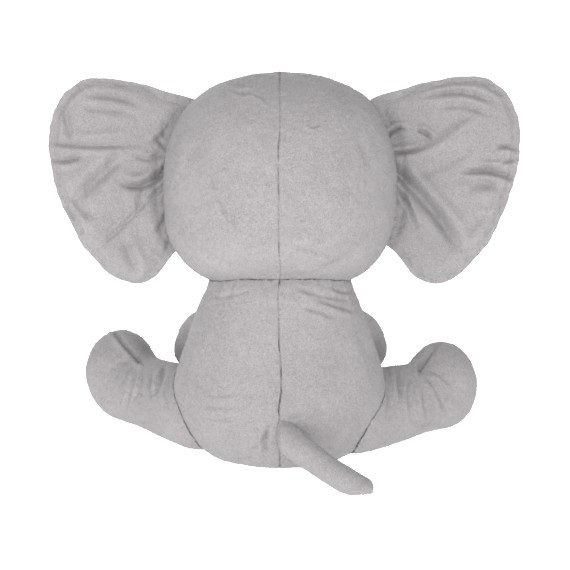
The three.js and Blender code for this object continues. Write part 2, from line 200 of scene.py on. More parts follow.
def frame_to_head(p):
    c, s = math.cos(HEAD_TILT), math.sin(HEAD_TILT)
    x, y, z = np.moveaxis(np.asarray(p, float) - HEAD_CENTRE, -1, 0)
    return np.stack([x, c * y + s * z, c * z - s * y], -1)


# ---------------- meshes
@contextmanager
def editing(obj):
    """A bmesh of obj's mesh, which is written back at the end."""
    b = bmesh.new()
    b.from_mesh(obj.data)
    yield b
    b.to_mesh(obj.data)
    b.free()


def new_object(name, points_mm, faces):
    mesh = bpy.data.meshes.new(name)
    mesh.from_pydata([tuple(p) for p in np.asarray(points_mm, float) * MM], [], faces)
    mesh.validate()
    obj = bpy.data.objects.new(name, mesh)
    bpy.context.scene.collection.objects.link(obj)
    with editing(obj) as b:
        bmesh.ops.recalc_face_normals(b, faces=b.faces)
    return obj


def read(obj):
    """Vertex positions in millimetres."""
    co = np.empty(len(obj.data.vertices) * 3, np.float32)
    obj.data.vertices.foreach_get("co", co)
    return co.reshape(-1, 3).astype(float) / MM


def write(obj, points_mm):
    obj.data.vertices.foreach_set("co", (np.asarray(points_mm) * MM).astype(np.float32).ravel())
    obj.data.update()


def normals(obj):
    n = np.empty(len(obj.data.vertices) * 3, np.float32)
    obj.data.vertex_normals.foreach_get("vector", n)
    return n.reshape(-1, 3).astype(float)


def displace(obj, amount):
    """Moves each vertex along its normal by amount, in millimetres."""
    write(obj, read(obj) + normals(obj) * np.broadcast_to(amount, len(obj.data.vertices))[:, None])


def duplicate(obj, name):
    other = obj.copy()
    other.data = obj.data.copy()
    other.name = name
    bpy.context.scene.collection.objects.link(other)
    return other


def apply_modifiers(obj):
    evaluated = obj.evaluated_get(bpy.context.evaluated_depsgraph_get())
    mesh = bpy.data.meshes.new_from_object(evaluated)
    old = obj.data
    obj.modifiers.clear()
    obj.data = mesh
    mesh.name = obj.name
    bpy.data.meshes.remove(old)


def voxel_remesh(obj, size_mm):
    m = obj.modifiers.new("voxels", "REMESH")
    m.mode = "VOXEL"
    m.voxel_size = size_mm * MM
    apply_modifiers(obj)


def smooth(obj, factor=0.5, repeats=5):
    m = obj.modifiers.new("smooth", "SMOOTH")
    m.factor = factor
    m.iterations = repeats
    apply_modifiers(obj)


def subdivide(obj, levels):
    m = obj.modifiers.new("subdivision", "SUBSURF")
    m.levels = levels
    m.render_levels = levels
    apply_modifiers(obj)


VOXEL = {"head": 5.2, "torso": 5.2, "leg": 4.5, "arm": 3.8, "tail": 3.0, "trunk": 4.0, "ear": 3.3}
SWELL_CAP = {"head": 1.5, "torso": 1.5, "leg": 1.5, "arm": 1.2, "tail": 0.7, "trunk": 1.0, "ear": 2.2}
SWELL_FRAMES = 20


def inflate(obj, cap, pressure=4.0):
    """Swells a closed form as stuffed cloth, moving no point further than cap millimetres."""
    start = read(obj)
    m = obj.modifiers.new("cloth", "CLOTH")
    s = m.settings
    s.quality = 5
    s.mass = 0.3
    s.tension_stiffness = s.compression_stiffness = 12
    s.shear_stiffness = 5
    s.bending_stiffness = 0.5
    s.use_pressure = True
    s.uniform_pressure_force = pressure
    s.effector_weights.gravity = 0
    m.point_cache.frame_start, m.point_cache.frame_end = 1, SWELL_FRAMES
    scene = bpy.context.scene
    for f in range(1, SWELL_FRAMES + 1):
        scene.frame_set(f)
    apply_modifiers(obj)
    scene.frame_set(1)
    move = read(obj) - start
    size = np.linalg.norm(move, axis=1, keepdims=True)
    write(obj, start + move * (cap * np.tanh(size / cap) / np.maximum(size, 1e-6)))


def stuffed(obj, body, smoothing=3):
    """Swells a plain closed form into a stuffed one, still in large facets."""
    voxel_remesh(obj, VOXEL[body])
    smooth(obj, 0.5, smoothing)
    inflate(obj, SWELL_CAP[body])
    smooth(obj, 0.5, 1)


def tree_of(obj):
    b = bmesh.new()
    b.from_mesh(obj.data)
    tree = BVHTree.FromBMesh(b)
    b.free()
    return tree


def settle(obj, tree, gap, only):
    """Lays what lies inside a neighbour on its surface, gap millimetres clear, where only says so."""
    co = read(obj)
    for i in np.flatnonzero(only(co)):
        point = Vector(co[i] * MM)
        hit, normal, _, _ = tree.find_nearest(point)
        if (point - hit).dot(normal) < gap * MM:
            co[i] = np.array(hit + normal * gap * MM) / MM
    write(obj, co)


ANCHOR_CLEAR = 6  # points this near an anchor stay where they are


def draw_back(obj, tree, gap, anchor):
    """Moves what is inside a neighbour, or nearer than gap millimetres, straight towards an inner point."""
    co = read(obj)
    anchor = np.asarray(anchor, float)

    def height(p):
        point = Vector(p * MM)
        hit, normal, _, _ = tree.find_nearest(point)
        return (point - hit).dot(normal) / MM

    for i in np.flatnonzero(np.linalg.norm(co - anchor, axis=1) > ANCHOR_CLEAR):
        if height(co[i]) < gap:
            low, high = 0.0, 1.0
            for _ in range(8):
                middle = (low + high) / 2
                if height(co[i] + (anchor - co[i]) * middle) < gap:
                    low = middle
                else:
                    high = middle
            co[i] += (anchor - co[i]) * high
    write(obj, co)


def flatten_end(obj, point, way, soft=0.12):
    """Presses what lies past a plane back towards it."""
    q = read(obj)
    past = np.maximum(0, (q - np.asarray(point, float)) @ unit(way))
    write(obj, q - np.outer(past * (1 - soft), unit(way)))


def above_floor(obj, height=0.1):
    q = read(obj)
    q[:, 2] = np.maximum(q[:, 2], height)
    write(obj, q)


def line_with(obj, inner):
    """Makes obj the cloth between its own surface and that of inner, which is used up."""
    with editing(obj) as b:
        outer_faces = len(b.faces)
        b.from_mesh(inner.data)
        b.faces.ensure_lookup_table()
        bmesh.ops.reverse_faces(b, faces=b.faces[outer_faces:])
    bpy.data.objects.remove(inner)


def bisect(b, point, normal, closeness, clear_outer=False):
    """Cuts edges where a plane crosses them. Vertices within closeness, in metres, count as on it."""
    geometry = b.verts[:] + b.edges[:] + b.faces[:]
    place = np.asarray(point, float) * MM
    bmesh.ops.bisect_plane(
        b, geom=geometry, dist=closeness, plane_co=place, plane_no=Vector(normal), clear_outer=clear_outer
    )


def cut_away(obj, point, normal):
    """Removes what lies past a plane, in millimetres, and closes the cut."""
    with editing(obj) as b:
        bisect(b, point, normal, 1e-7, clear_outer=True)
        rim = [e for e in b.edges if e.is_boundary]
        bmesh.ops.triangle_fill(b, edges=rim, use_beauty=True)
        bmesh.ops.recalc_face_normals(b, faces=b.faces)


def split(obj, name, point, normal, gap=0.03):
    """Cuts obj in two closed solids by a plane. What the normal points to becomes the new object."""
    other = duplicate(obj, name)
    way = unit(normal)
    cut_away(obj, np.asarray(point, float) - way * gap / 2, way)
    cut_away(other, np.asarray(point, float) + way * gap / 2, -way)
    return other


SEAM_LOOPS = (-1.3, -0.8, -0.38, 0, 0.38, 0.8, 1.3)


def insert_loops(obj, point, normal):
    """Cuts edges where planes beside a seam cross, so that its groove has vertices to bend at."""
    way = unit(normal)
    with editing(obj) as b:
        for w in SEAM_LOOPS:
            bisect(b, np.asarray(point, float) + way * w, way, 0.1 * MM)


# ---------------- plain forms
def sphere_grid(around, rings):
    """Unit sphere about Z: points and faces, poles first and last."""
    points = [(0, 0, 1)]
    for r in range(1, rings):
        polar = math.pi * r / rings
        for a in range(around):
            turn = 2 * math.pi * a / around
            flat = math.sin(polar)
            points.append((flat * math.cos(turn), flat * math.sin(turn), math.cos(polar)))
    points.append((0, 0, -1))
    faces = []
    for a in range(around):
        n = (a + 1) % around
        faces.append((0, 1 + a, 1 + n))
        last = 1 + (rings - 2) * around
        faces.append((last + n, last + a, len(points) - 1))
        for r in range(rings - 2):
            row = 1 + r * around
            faces.append((row + a, row + around + a, row + around + n, row + n))
    return np.array(points, float), faces


def head_form(p, inset=0.0):
    """Unit sphere to the head, in the head's own axes."""
    up = p[:, 2] >= 0
    power = np.where(up, HEAD_POWER["top"], HEAD_POWER["bottom"])
    height = np.where(up, HEAD_HALF["top"], HEAD_HALF["bottom"]) - inset
    z = np.abs(p[:, 2]) ** (2 / power) * height * np.sign(p[:, 2])
    flat = np.maximum(np.hypot(p[:, 0], p[:, 1]), 1e-9)
    reach = flat ** (2 / power) / flat
    x = p[:, 0] * reach * (HEAD_HALF["wide"] - inset)
    y = p[:, 1] * reach * (HEAD_HALF["deep"] - inset)
    return np.stack([x, y, z], 1)


def ring_form(name, first, rings, last):
    """A closed form through rings of points, from one end point to another."""
    around, end = len(rings[0]), 1 + (len(rings) - 1) * len(rings[0])
    points = np.vstack([[first], *rings, [last]])
    faces = []
    for a in range(around):
        n = (a + 1) % around
        faces.append((0, 1 + n, 1 + a))
        faces.append((end + a, end + n, len(points) - 1))
        for row in range(1, end, around):
            faces.append((row + a, row + n, row + around + n, row + around + a))
    return new_object(name, points, faces)


def lathe_form(name, profile, depth, around=96, steps=70):
    """A form turned from a line of radii and heights, and squeezed from front to back."""
    turns = [2 * math.pi * a / around for a in range(around)]
    line = catmull(profile, steps)
    rings = [[(r * math.cos(t), r * math.sin(t) * depth, z) for t in turns] for r, z in line]
    return ring_form(name, (0, 0, line[0][1]), rings, (0, 0, line[-1][1] + 3))


class Limb:
    """A round body along a line, and the coordinates that follow it."""

    def __init__(self, points, radii):
        self.line = catmull(points, 80)
        self.run = distances(self.line)
        self.length = self.run[-1]
        self.radii = radii

    def at(self, s):
        """Centre and direction at a distance along the line, which runs on straight past both ends."""
        s = np.asarray(s, float)
        c = interpolated(s, self.run, self.line)
        d = np.gradient(self.line, axis=0)
        d /= np.linalg.norm(d, axis=1, keepdims=True)
        t = interpolated(s, self.run, d)
        t /= np.linalg.norm(t, axis=-1, keepdims=True)
        past = s - np.clip(s, 0, self.length)
        return c + t * past[..., None], t

    def radius(self, s):
        root, end = self.radii
        share = np.clip(s / self.length, 0, 1)
        r = root + (end - root) * share * share * (3 - 2 * share)
        r = np.where(s < 0, np.sqrt(np.maximum(0, root**2 - s**2)), r)
        return np.where(s > self.length, np.sqrt(np.maximum(0, end**2 - (s - self.length) ** 2)), r)

    def form(self, name, around=48, rings=48, inset=0.0):
        p, faces = sphere_grid(around, rings)
        root, end = self.radii
        s = (1 - p[:, 2]) / 2 * (root + self.length + end) - root
        centre, tangent = self.at(s)
        side = np.cross([0, 0, 1.0], tangent)
        level = np.linalg.norm(side, axis=1)
        side[level < 0.2] = (1, 0, 0)
        side -= tangent * np.sum(side * tangent, axis=1, keepdims=True)
        side /= np.linalg.norm(side, axis=1, keepdims=True)
        up = np.cross(tangent, side)
        turn = np.arctan2(p[:, 1], p[:, 0])
        r = np.maximum(self.radius(s)[:, None] - inset, 0)
        ring = side * np.cos(turn)[:, None] + up * np.sin(turn)[:, None]
        return new_object(name, centre + r * ring, faces)

    def locate(self, points):
        """Distance along the line, and the way out from it, for each point."""
        p = np.asarray(points, float)
        best = np.full(len(p), np.inf)
        s = np.zeros(len(p))
        for k in range(len(self.line)):
            d = np.linalg.norm(p - self.line[k], axis=1)
            closer = d < best
            best[closer], s[closer] = d[closer], self.run[k]
        centre, tangent = self.at(s)
        s = s + np.sum((p - centre) * tangent, axis=1)
        return s, p - self.at(s)[0]


# ---------------- marks in cloth
def polyline_distance(points2, line):
    """Signed distance from a line in a plane, and how far along it (0 to 1), for each point."""
    p = np.asarray(points2, float)
    best = np.full(len(p), np.inf)
    signed = np.zeros(len(p))
    share = np.zeros(len(p))
    for k in range(len(line) - 1):
        a, b = line[k], line[k + 1]
        ab = b - a
        t = np.clip(((p - a) @ ab) / (ab @ ab), 0, 1)
        off = p - (a + t[:, None] * ab)
        d = np.hypot(off[:, 0], off[:, 1])
        closer = d < best
        best[closer] = d[closer]
        cross = ab[0] * off[:, 1] - ab[1] * off[:, 0]
        signed[closer] = (np.sign(cross) * d)[closer]
        share[closer] = ((k + t) / (len(line) - 1))[closer]
    return signed, share


def fold(points2, line, width, depth, open_start=False, open_end=False, ridge=0.55):
    """A crease along a line: a valley with a soft ridge on its left, fading at ends that aren't open."""
    points2 = np.asarray(points2, float)
    fine = catmull(line, 24)
    out = np.zeros(len(points2))
    near = np.all((points2 > fine.min(0) - 5 * width) & (points2 < fine.max(0) + 5 * width), axis=1)
    if not near.any():
        return out
    d, share = polyline_distance(points2[near], fine)
    fade = np.ones(len(share))
    if not open_start:
        fade *= smoothstep(0, 0.35, share)
    if not open_end:
        fade *= 1 - smoothstep(0.65, 1, share)
    bank = ridge * bell(d - 2.1 * width, 1.3 * width)
    out[near] = depth * (-bell(d, width) + bank) * fade
    return out


def folds(points2, table):
    """The height of all the creases in a table. A row holds what fold takes."""
    return sum(fold(points2, *row) for row in table)


def pile_relief(points, seed):
    """The uneven lie of a short pile, in millimetres."""
    clumps = value_noise(points, 2.6, seed) * 0.22 + value_noise(points, 1.3, seed + 1) * 0.3
    swells = value_noise(points, 28, seed + 2) * 0.8 + value_noise(points, 10, seed + 3) * 0.3
    return clumps + swells


STITCH_PITCH = 3.6


def seam_relief(distance, along, seed, depth=0.6, width=0.55):
    """A sewn seam: a narrow groove that the stitches pull deeper, and cloth gathered beside it."""
    gathers = noise_2d(along, np.sign(distance) * 3, 3.2, seed)
    parting = noise_1d(along, 6.5, seed + 5)
    pull = 0.75 + 0.25 * np.cos(along * 2 * math.pi / STITCH_PITCH)
    bites = pull * (0.5 + 1.3 * smoothstep(-0.1, 0.45, parting))
    beside = bell(distance, 4.5) * (0.3 + 0.45 * gathers) * (1 - bell(distance, 0.7))
    return -depth * bites * bell(distance, width) + beside


VIEW_TILT = math.radians(18)  # how far the camera looks down


def from_behind(points):
    """Where points show in a view from behind and above: the toy's left, and up, in millimetres."""
    up = points[:, 2] * math.cos(VIEW_TILT) - points[:, 1] * math.sin(VIEW_TILT)
    return np.stack([points[:, 0], up], 1)


def back_facing(n):
    """From 0 to 1, how far normals turn towards the back and up."""
    return smoothstep(0.02, 0.3, n[:, 1] * math.cos(VIEW_TILT) + n[:, 2] * math.sin(VIEW_TILT))


# ---------------- materials
def node_material(name):
    m = bpy.data.materials.new(name)
    m.use_nodes = True
    nodes = m.node_tree.nodes
    nodes.clear()
    out = nodes.new("ShaderNodeOutputMaterial")
    shader = nodes.new("ShaderNodeBsdfPrincipled")
    m.node_tree.links.new(shader.outputs[0], out.inputs[0])
    return m, nodes, m.node_tree.links, shader


def noise_node(nodes, links, coords, scale, detail=2.0, stretch=(1, 1, 1), turn=(0, 0, 0)):
    mapping = nodes.new("ShaderNodeMapping")
    mapping.inputs["Scale"].default_value = stretch
    mapping.inputs["Rotation"].default_value = turn
    links.new(coords, mapping.inputs["Vector"])
    noise = nodes.new("ShaderNodeTexNoise")
    noise.inputs["Scale"].default_value = scale
    noise.inputs["Detail"].default_value = detail
    links.new(mapping.outputs[0], noise.inputs["Vector"])
    return noise.outputs["Fac"]


def math_node(nodes, links, kind, a, b):
    node = nodes.new("ShaderNodeMath")
    node.operation = kind
    for socket, value in zip(node.inputs, (a, b)):
        if isinstance(value, (int, float)):
            socket.default_value = value
        else:
            links.new(value, socket)
    return node.outputs[0]


def weighted_sum(nodes, links, parts):
    total = None
    for output, weight in parts:
        part = math_node(nodes, links, "MULTIPLY", output, weight)
        total = part if total is None else math_node(nodes, links, "ADD", total, part)
    return total


def colour_by(nodes, links, shader, source, spread, low, high):
    """Colours the surface from low to high as source goes from spread under a half to spread over it."""
    ramp = nodes.new("ShaderNodeValToRGB")
    for end, position, colour in zip(ramp.color_ramp.elements, (0.5 - spread, 0.5 + spread), (low, high)):
        end.position = position
        end.color = (*colour, 1)
    links.new(source, ramp.inputs[0])
    links.new(ramp.outputs[0], shader.inputs["Base Color"])


def bump_by(nodes, links, shader, height, strength, distance):
    bump = nodes.new("ShaderNodeBump")
    bump.inputs["Strength"].default_value = strength
    bump.inputs["Distance"].default_value = distance
    links.new(height, bump.inputs["Height"])
    links.new(bump.outputs[0], shader.inputs["Normal"])


def plush_material(name, dark, light, grain=1.0):
    """Short pile: brushed patches, a fine grain of fibre tips, and a soft sheen at grazing angles."""
    m, nodes, links, shader = node_material(name)
    coords = nodes.new("ShaderNodeTexCoord").outputs["Object"]
    patches = noise_node(nodes, links, coords, 40, 2.0)
    strokes = noise_node(nodes, links, coords, 260, 3.0, stretch=(1, 1, 0.6), turn=(0.3, 0.5, 0))
    tips = noise_node(nodes, links, coords, 1250, 2.0)
    tone = weighted_sum(nodes, links, [(patches, 0.16), (strokes, 0.10), (tips, 0.74)])
    colour_by(nodes, links, shader, tone, 0.15 / grain, dark, light)
    height = weighted_sum(nodes, links, [(strokes, 0.3), (tips, 1.0)])
    bump_by(nodes, links, shader, height, 0.55, 0.0009)
    shader.inputs["Roughness"].default_value = 0.93
    shader.inputs["Specular IOR Level"].default_value = 0.15
    shader.inputs["Sheen Weight"].default_value = 0.05
    shader.inputs["Sheen Roughness"].default_value = 0.45
    shader.inputs["Sheen Tint"].default_value = (0.95, 0.94, 0.94, 1)
    return m


def plain_material(name, low, high, scale, roughness, bump_depth=0.0, coat=0.0):
    """Colour that varies a little with noise of the given scale."""
    m, nodes, links, shader = node_material(name)
    coords = nodes.new("ShaderNodeTexCoord").outputs["Object"]
    noise = noise_node(nodes, links, coords, scale, 3.0)
    colour_by(nodes, links, shader, noise, 0.15, low, high)
    shader.inputs["Roughness"].default_value = roughness
    shader.inputs["Coat Weight"].default_value = coat
    shader.inputs["Coat Roughness"].default_value = 0.05
    if bump_depth:
        bump_by(nodes, links, shader, noise, 0.6, bump_depth)
    return m


PLUSH = plush_material("plush_grey", (0.174, 0.166, 0.169), (0.257, 0.247, 0.25))
# The strands get a lighter copy of the plush, which is painted light: it offsets the shade that their spiky
# normals and bump put on them, and lightens the fringe they make at the outline.
PILE_PAINTED_LIGHTER = plush_material("plush_pile", (0.226, 0.215, 0.219), (0.312, 0.3, 0.304))
LINING = plush_material("plush_ear_lining", (0.24, 0.231, 0.233), (0.31, 0.301, 0.303), grain=0.8)
PAD = plush_material("pad_felt", (0.245, 0.235, 0.238), (0.32, 0.31, 0.312))
THREAD = plain_material("thread", (0.17, 0.163, 0.165), (0.22, 0.212, 0.214), 900, 0.8, 0.0002)
EYE_BLACK = plain_material("eye_black", (0.006, 0.006, 0.007), (0.012, 0.012, 0.013), 60, 0.12, coat=1.0)
FIBRE = plain_material("loose_fibre", (0.82, 0.81, 0.79), (0.93, 0.92, 0.9), 300, 0.95, 0.002)
MUSLIN = plain_material("muslin", (0.72, 0.68, 0.6), (0.8, 0.76, 0.68), 800, 0.9, 0.0004)
WHITE_PLASTIC = plain_material("white_plastic", (0.68, 0.68, 0.68), (0.74, 0.74, 0.74), 120, 0.4)


SHARP_FROM = math.radians(48)  # edges that bend more are cut edges, the rest are shaded smooth


def paint(obj, material):
    obj.data.materials.clear()
    obj.data.materials.append(material)
    obj.data.polygons.foreach_set("use_smooth", [True] * len(obj.data.polygons))
    obj.data.set_sharp_from_angle(angle=SHARP_FROM)


# ---------------- stitches
THREAD_RINGS = (-1, -0.55, 0, 0.55, 1)  # across the seam, from one end of a thread to the other
THREAD_SIDES = 6
THREAD_END = 0.45  # how thick a thread's ends are beside its middle


def stitch_line(name, tree, centres, outs, slant=0.5, half=1.1, thick=0.17):
    """Small threads across a seam. centres are points over it and outs the way out of the cloth there."""
    points, faces = [], []
    rng = np.random.default_rng(len(centres))
    for k in range(1, len(centres) - 1):
        along = unit(centres[k + 1] - centres[k - 1])
        across = unit(np.cross(along, outs[k]))
        lean = slant * (1 + 0.5 * rng.standard_normal())
        reach = half * (1 + 0.15 * rng.standard_normal())
        line = []
        for t in THREAD_RINGS:
            at = centres[k] + across * t * reach + along * t * lean
            hit, *_ = tree.ray_cast(Vector((at + outs[k] * 12) * MM), Vector(-outs[k]), 0.03)
            if hit is None:
                break
            lift = 0.25 - 0.45 * abs(t) ** 3
            line.append(np.array(hit) / MM + outs[k] * (lift + 0.35 * (1 - abs(t))))
        if len(line) < len(THREAD_RINGS):
            continue
        base, last = len(points), len(line) - 1
        for r, at in enumerate(line):
            size = thick * (THREAD_END if r in (0, last) else 1)
            for a in range(THREAD_SIDES):
                turn = 2 * math.pi * a / THREAD_SIDES
                points.append(at + size * (math.cos(turn) * outs[k] + math.sin(turn) * along))
        for r in range(last):
            low = base + r * THREAD_SIDES
            high = low + THREAD_SIDES
            for a in range(THREAD_SIDES):
                n = (a + 1) % THREAD_SIDES
                faces.append((low + a, low + n, high + n, high + a))
        faces.append(tuple(range(base, base + THREAD_SIDES)))
        faces.append(tuple(reversed(range(high, high + THREAD_SIDES))))
    return new_object(name, points, faces)


def along_rays(tree, origins, ways, pitch):
    """Points at an even pitch on the line where rays meet the cloth, and the way back along the rays."""
    hits, outs = [], []
    for o, w in zip(origins, ways):
        hit, *_ = tree.ray_cast(Vector(np.asarray(o) * MM), Vector(w), 0.4)
        if hit is not None:
            hits.append(np.array(hit) / MM)
            outs.append(-unit(w))
    run = distances(np.array(hits))
    at = np.arange(0, run[-1], pitch)
    outs = interpolated(at, run, np.array(outs))
    return interpolated(at, run, np.array(hits)), outs / np.linalg.norm(outs, axis=1, keepdims=True)


# ---------------- padded bodies
CLOTH = 3.0  # cover thickness
FILL_GAP = 0.4  # between a cover and its filling
ROOT_GAP = 0.12  # between a limb and what it is sewn on


def filling(coarse, name, seed, neighbour=None, anchor=None):
    """The loose fibre inside a cover: the same form, smaller and lumpy."""
    inside = duplicate(coarse, name)
    displace(inside, -CLOTH - FILL_GAP)
    smooth(inside, 0.5, 2)
    lumps = value_noise(read(inside), 9, seed) * 0.5 + value_noise(read(inside), 4, seed + 1) * 0.35 - 0.9
    displace(inside, lumps)
    if neighbour is not None:
        draw_back(inside, neighbour, ROOT_GAP + CLOTH + FILL_GAP, anchor)
    return inside


def inner_wall(coarse, neighbour=None, anchor=None):
    """The inner side of a cover."""
    wall = duplicate(coarse, "wall")
    displace(wall, -CLOTH)
    if neighbour is not None:
        draw_back(wall, neighbour, ROOT_GAP + CLOTH, anchor)
    return wall


PILE_DENSITY = 0.175  # strands per square millimetre
PILE_CLEAR = 1.0  # how far strands keep from a neighbour
PILE_LENGTH = 1.8
PILE_RADIUS = 0.11
PILE_LEAN = 0.42  # how unevenly the strands stand
PILE_DROOP = np.array([0, 0, -0.3])  # how they hang
SPIKE_TURNS = (0, 2.094, 4.189)  # thirds of a turn, for a strand's three sides


def grow_pile(obj, name, seed, neighbours, bare=None, faces=None):
    """Short strands of pile on a cloth's outer side, each a thin closed spike with its root in the cloth.

    None grow near a neighbour, or where bare says so. faces limits them to the mesh's first faces.
    """
    mesh = obj.data
    mesh.calc_loop_triangles()
    count = len(mesh.loop_triangles)
    corners, owner = np.empty(count * 3, np.int32), np.empty(count, np.int32)
    mesh.loop_triangles.foreach_get("vertices", corners)
    mesh.loop_triangles.foreach_get("polygon_index", owner)
    corners = corners.reshape(-1, 3)
    if faces is not None:
        corners = corners[owner < faces]
    q, n = read(obj), normals(obj)
    tri = q[corners]
    area = np.linalg.norm(np.cross(tri[:, 1] - tri[:, 0], tri[:, 2] - tri[:, 0]), axis=1) / 2
    rng = np.random.default_rng(seed)
    number = int(area.sum() * PILE_DENSITY)
    pick = rng.choice(len(area), number, p=area / area.sum())
    share = rng.random((number, 2))
    over = share.sum(1) > 1
    share[over] = 1 - share[over]
    share = np.column_stack([1 - share.sum(1), share])
    root = np.einsum("ij,ijk->ik", share, tri[pick])
    out = np.einsum("ij,ijk->ik", share, n[corners[pick]])
    out /= np.linalg.norm(out, axis=1, keepdims=True)
    way = out + PILE_LEAN * rng.standard_normal((number, 3)) + PILE_DROOP
    way /= np.linalg.norm(way, axis=1, keepdims=True)
    length = PILE_LENGTH * (1 + 0.3 * np.clip(rng.standard_normal(number), -1.5, 1.5))
    tip = root + way * length[:, None]
    keep = (tip[:, 2] > 0.3) & (root[:, 2] > 0.6) & (np.sum(way * out, axis=1) > 0.25)
    if bare is not None:
        keep &= ~bare(root)
    for tree in neighbours:
        for i in np.flatnonzero(keep):
            if tree.find_nearest(Vector(root[i] * MM), PILE_CLEAR * MM)[0] is not None:
                keep[i] = False
    root, out, way, tip = root[keep], out[keep], way[keep], tip[keep]
    side = np.cross(way, rng.standard_normal((len(root), 3)))
    side /= np.linalg.norm(side, axis=1, keepdims=True)
    up = np.cross(way, side)
    base = [root - 0.15 * out + PILE_RADIUS * (math.cos(a) * side + math.sin(a) * up) for a in SPIKE_TURNS]
    points = np.stack([*base, tip], 1).reshape(-1, 3)
    first = np.arange(len(root))[:, None] * 4
    spike = [first + np.array(f) for f in ((0, 2, 1), (0, 1, 3), (1, 2, 3), (2, 0, 3))]
    return new_object(name, points, np.stack(spike, 1).reshape(-1, 3).tolist())


# ---------------- head
X_WAY = (1, 0, 0)
FACE_WAY = (0, -math.cos(HEAD_TILT), -math.sin(HEAD_TILT))
FACE_SEAM = head_to_frame((0, FACE_SEAM_Y, 0))
p, faces = sphere_grid(96, 72)
head_coarse = new_object("head_coarse", head_to_frame(head_form(p, 0.6)), faces)
q, n = read(head_coarse), normals(head_coarse)
# The nape is pressed in where the torso's top meets it.
displace(head_coarse, -4.5 * spot(from_behind(q), (0, 132), (40, 11)) * back_facing(n))
stuffed(head_coarse, "head")
head = duplicate(head_coarse, "head_cover_left")
subdivide(head, 2)
insert_loops(head, (0, 0, 0), X_WAY)
insert_loops(head, FACE_SEAM, FACE_WAY)
# Each crease is its points as from_behind gives them, its width and its depth. A negative depth is a roll.
HEAD_FOLDS = [
    ([(-1, 159), (-14, 153), (-30, 149), (-48, 147)], 1.3, 1.3),
    ([(-19, 243), (-24, 240), (-31, 243)], 1.1, 1.1),
    ([(46, 196), (41, 182), (35, 169)], 1.1, 1.0),
    ([(38, 192), (34, 178), (31, 165)], 1.1, 0.9),
    ([(41, 180), (32, 170), (22, 162)], 1.1, 0.8),
    ([(12, 215), (9, 203), (6, 192)], 1.1, 0.8),
    ([(52, 214), (48, 200), (47, 188)], 1.2, 0.7),
    ([(44, 279), (30, 272), (18, 277)], 1.4, 1.7),
    ([(32, 285), (20, 279), (8, 284)], 1.2, 1.6),
    ([(38, 270), (27, 265), (14, 269)], 1.3, 1.4),
    ([(22, 266), (12, 261), (8, 254)], 1.2, 1.1),
    ([(-8, 284), (-18, 279), (-32, 281)], 1.3, 1.3),
    ([(-55, 238), (-62, 222), (-66, 205)], 3.4, 1.0),
    ([(58, 236), (66, 218), (70, 200)], 3.4, 0.9),
    ([(62, 160), (50, 147), (36, 140), (20, 138)], 2.6, 1.6),
    ([(-62, 160), (-48, 147), (-34, 140), (-20, 138)], 2.6, 1.6),
    ([(10, 139), (-20, 138), (-44, 141)], 1.6, -0.7),
]
SEAM_ARC = {"back": 75, "face": 70}  # radii that turn angles along the head's seams into millimetres
q, n = read(head), normals(head)
seen = from_behind(q)
local = frame_to_head(q)
behind_face = np.where(local[:, 1] > FACE_SEAM_Y, 1.0, 0.0)
relief = pile_relief(q, 11)
relief += behind_face * seam_relief(q[:, 0], np.arctan2(local[:, 2], local[:, 1]) * SEAM_ARC["back"], 12)
along = np.arctan2(local[:, 2], local[:, 0]) * SEAM_ARC["face"]
relief += seam_relief(local[:, 1] - FACE_SEAM_Y, along, 13, depth=1.2)
relief += folds(seen, HEAD_FOLDS) * back_facing(n)
# The nap is crumpled at the crown, and the stuffing bulges a little at its right.
crown = spot(seen, (24, 275), (22, 12)) * back_facing(n)
relief += crown * (np.abs(value_noise(q, 5.0, 17)) * -2.2 + 0.5 + value_noise(q, 2.6, 18) * 0.7)
relief += 2.2 * spot(seen, (-58, 262), (22, 20))
displace(head, relief)
head_skin = tree_of(head)

# ---------------- torso
torso_coarse = lathe_form("torso_coarse", [(r - 0.8, z) for r, z in TORSO_PROFILE], TORSO_DEPTH)
stuffed(torso_coarse, "torso")
above_floor(torso_coarse)
torso = duplicate(torso_coarse, "torso_cover_left")
subdivide(torso, 2)
insert_loops(torso, (0, 0, 0), X_WAY)
insert_loops(torso, (0, SIDE_SEAM_Y, 0), (0, -1, 0))
TORSO_FOLDS = [
    ([(-8, 127), (-30, 119), (-52, 115)], 1.5, 1.1),
    ([(-19, 119), (-38, 113), (-60, 106)], 1.7, 1.2),
    ([(-14, 112), (-30, 107), (-45, 101)], 1.5, 0.7),
    ([(-34, 126), (-46, 122), (-57, 121)], 1.2, 0.8),
    ([(20, 124), (36, 119), (50, 118)], 1.4, 0.6),
    ([(68, 39), (42, 37), (16, 39)], 1.6, 0.6),
    ([(60, 46), (44, 46), (28, 48)], 1.4, 0.4),
    ([(66, 31), (48, 28), (24, 30)], 1.5, 0.55),
    ([(6, 25), (11, 13), (9, -2)], 1.7, 1.8),
    ([(10, 12), (22, 5), (34, 6)], 1.4, 0.9),
    ([(14, 2), (24, -2), (36, -3)], 1.3, 0.9),
    ([(4, 31), (-12, 30), (-24, 34)], 1.6, 0.7),
    ([(64, 96), (70, 72), (70, 48)], 2.6, 0.7),
    ([(-58, 96), (-66, 72), (-68, 48)], 2.6, 0.7),
]
q, n = read(torso), normals(torso)
relief = pile_relief(q, 21)
relief += np.where(q[:, 1] > SIDE_SEAM_Y, 1, 0) * seam_relief(q[:, 0], q[:, 2], 22, depth=1.25)
relief += seam_relief(q[:, 1] - SIDE_SEAM_Y, q[:, 2], 23, depth=1.2)
relief += 1.4 * folds(from_behind(q), TORSO_FOLDS) * back_facing(n)
# The cloth is gathered under the neck seam.
around = np.arctan2(q[:, 1] / TORSO_DEPTH, q[:, 0])
relief += bell(q[:, 2] - 137, 7) * noise_2d(around * 50, q[:, 2] * 0.25, 4.0, 24) * 0.9
displace(torso, relief * smoothstep(0, 6, q[:, 2]))
above_floor(torso)
NECK_ANCHOR = (0, -4, 104)
draw_back(torso, head_skin, ROOT_GAP, NECK_ANCHOR)
torso_skin = tree_of(torso)
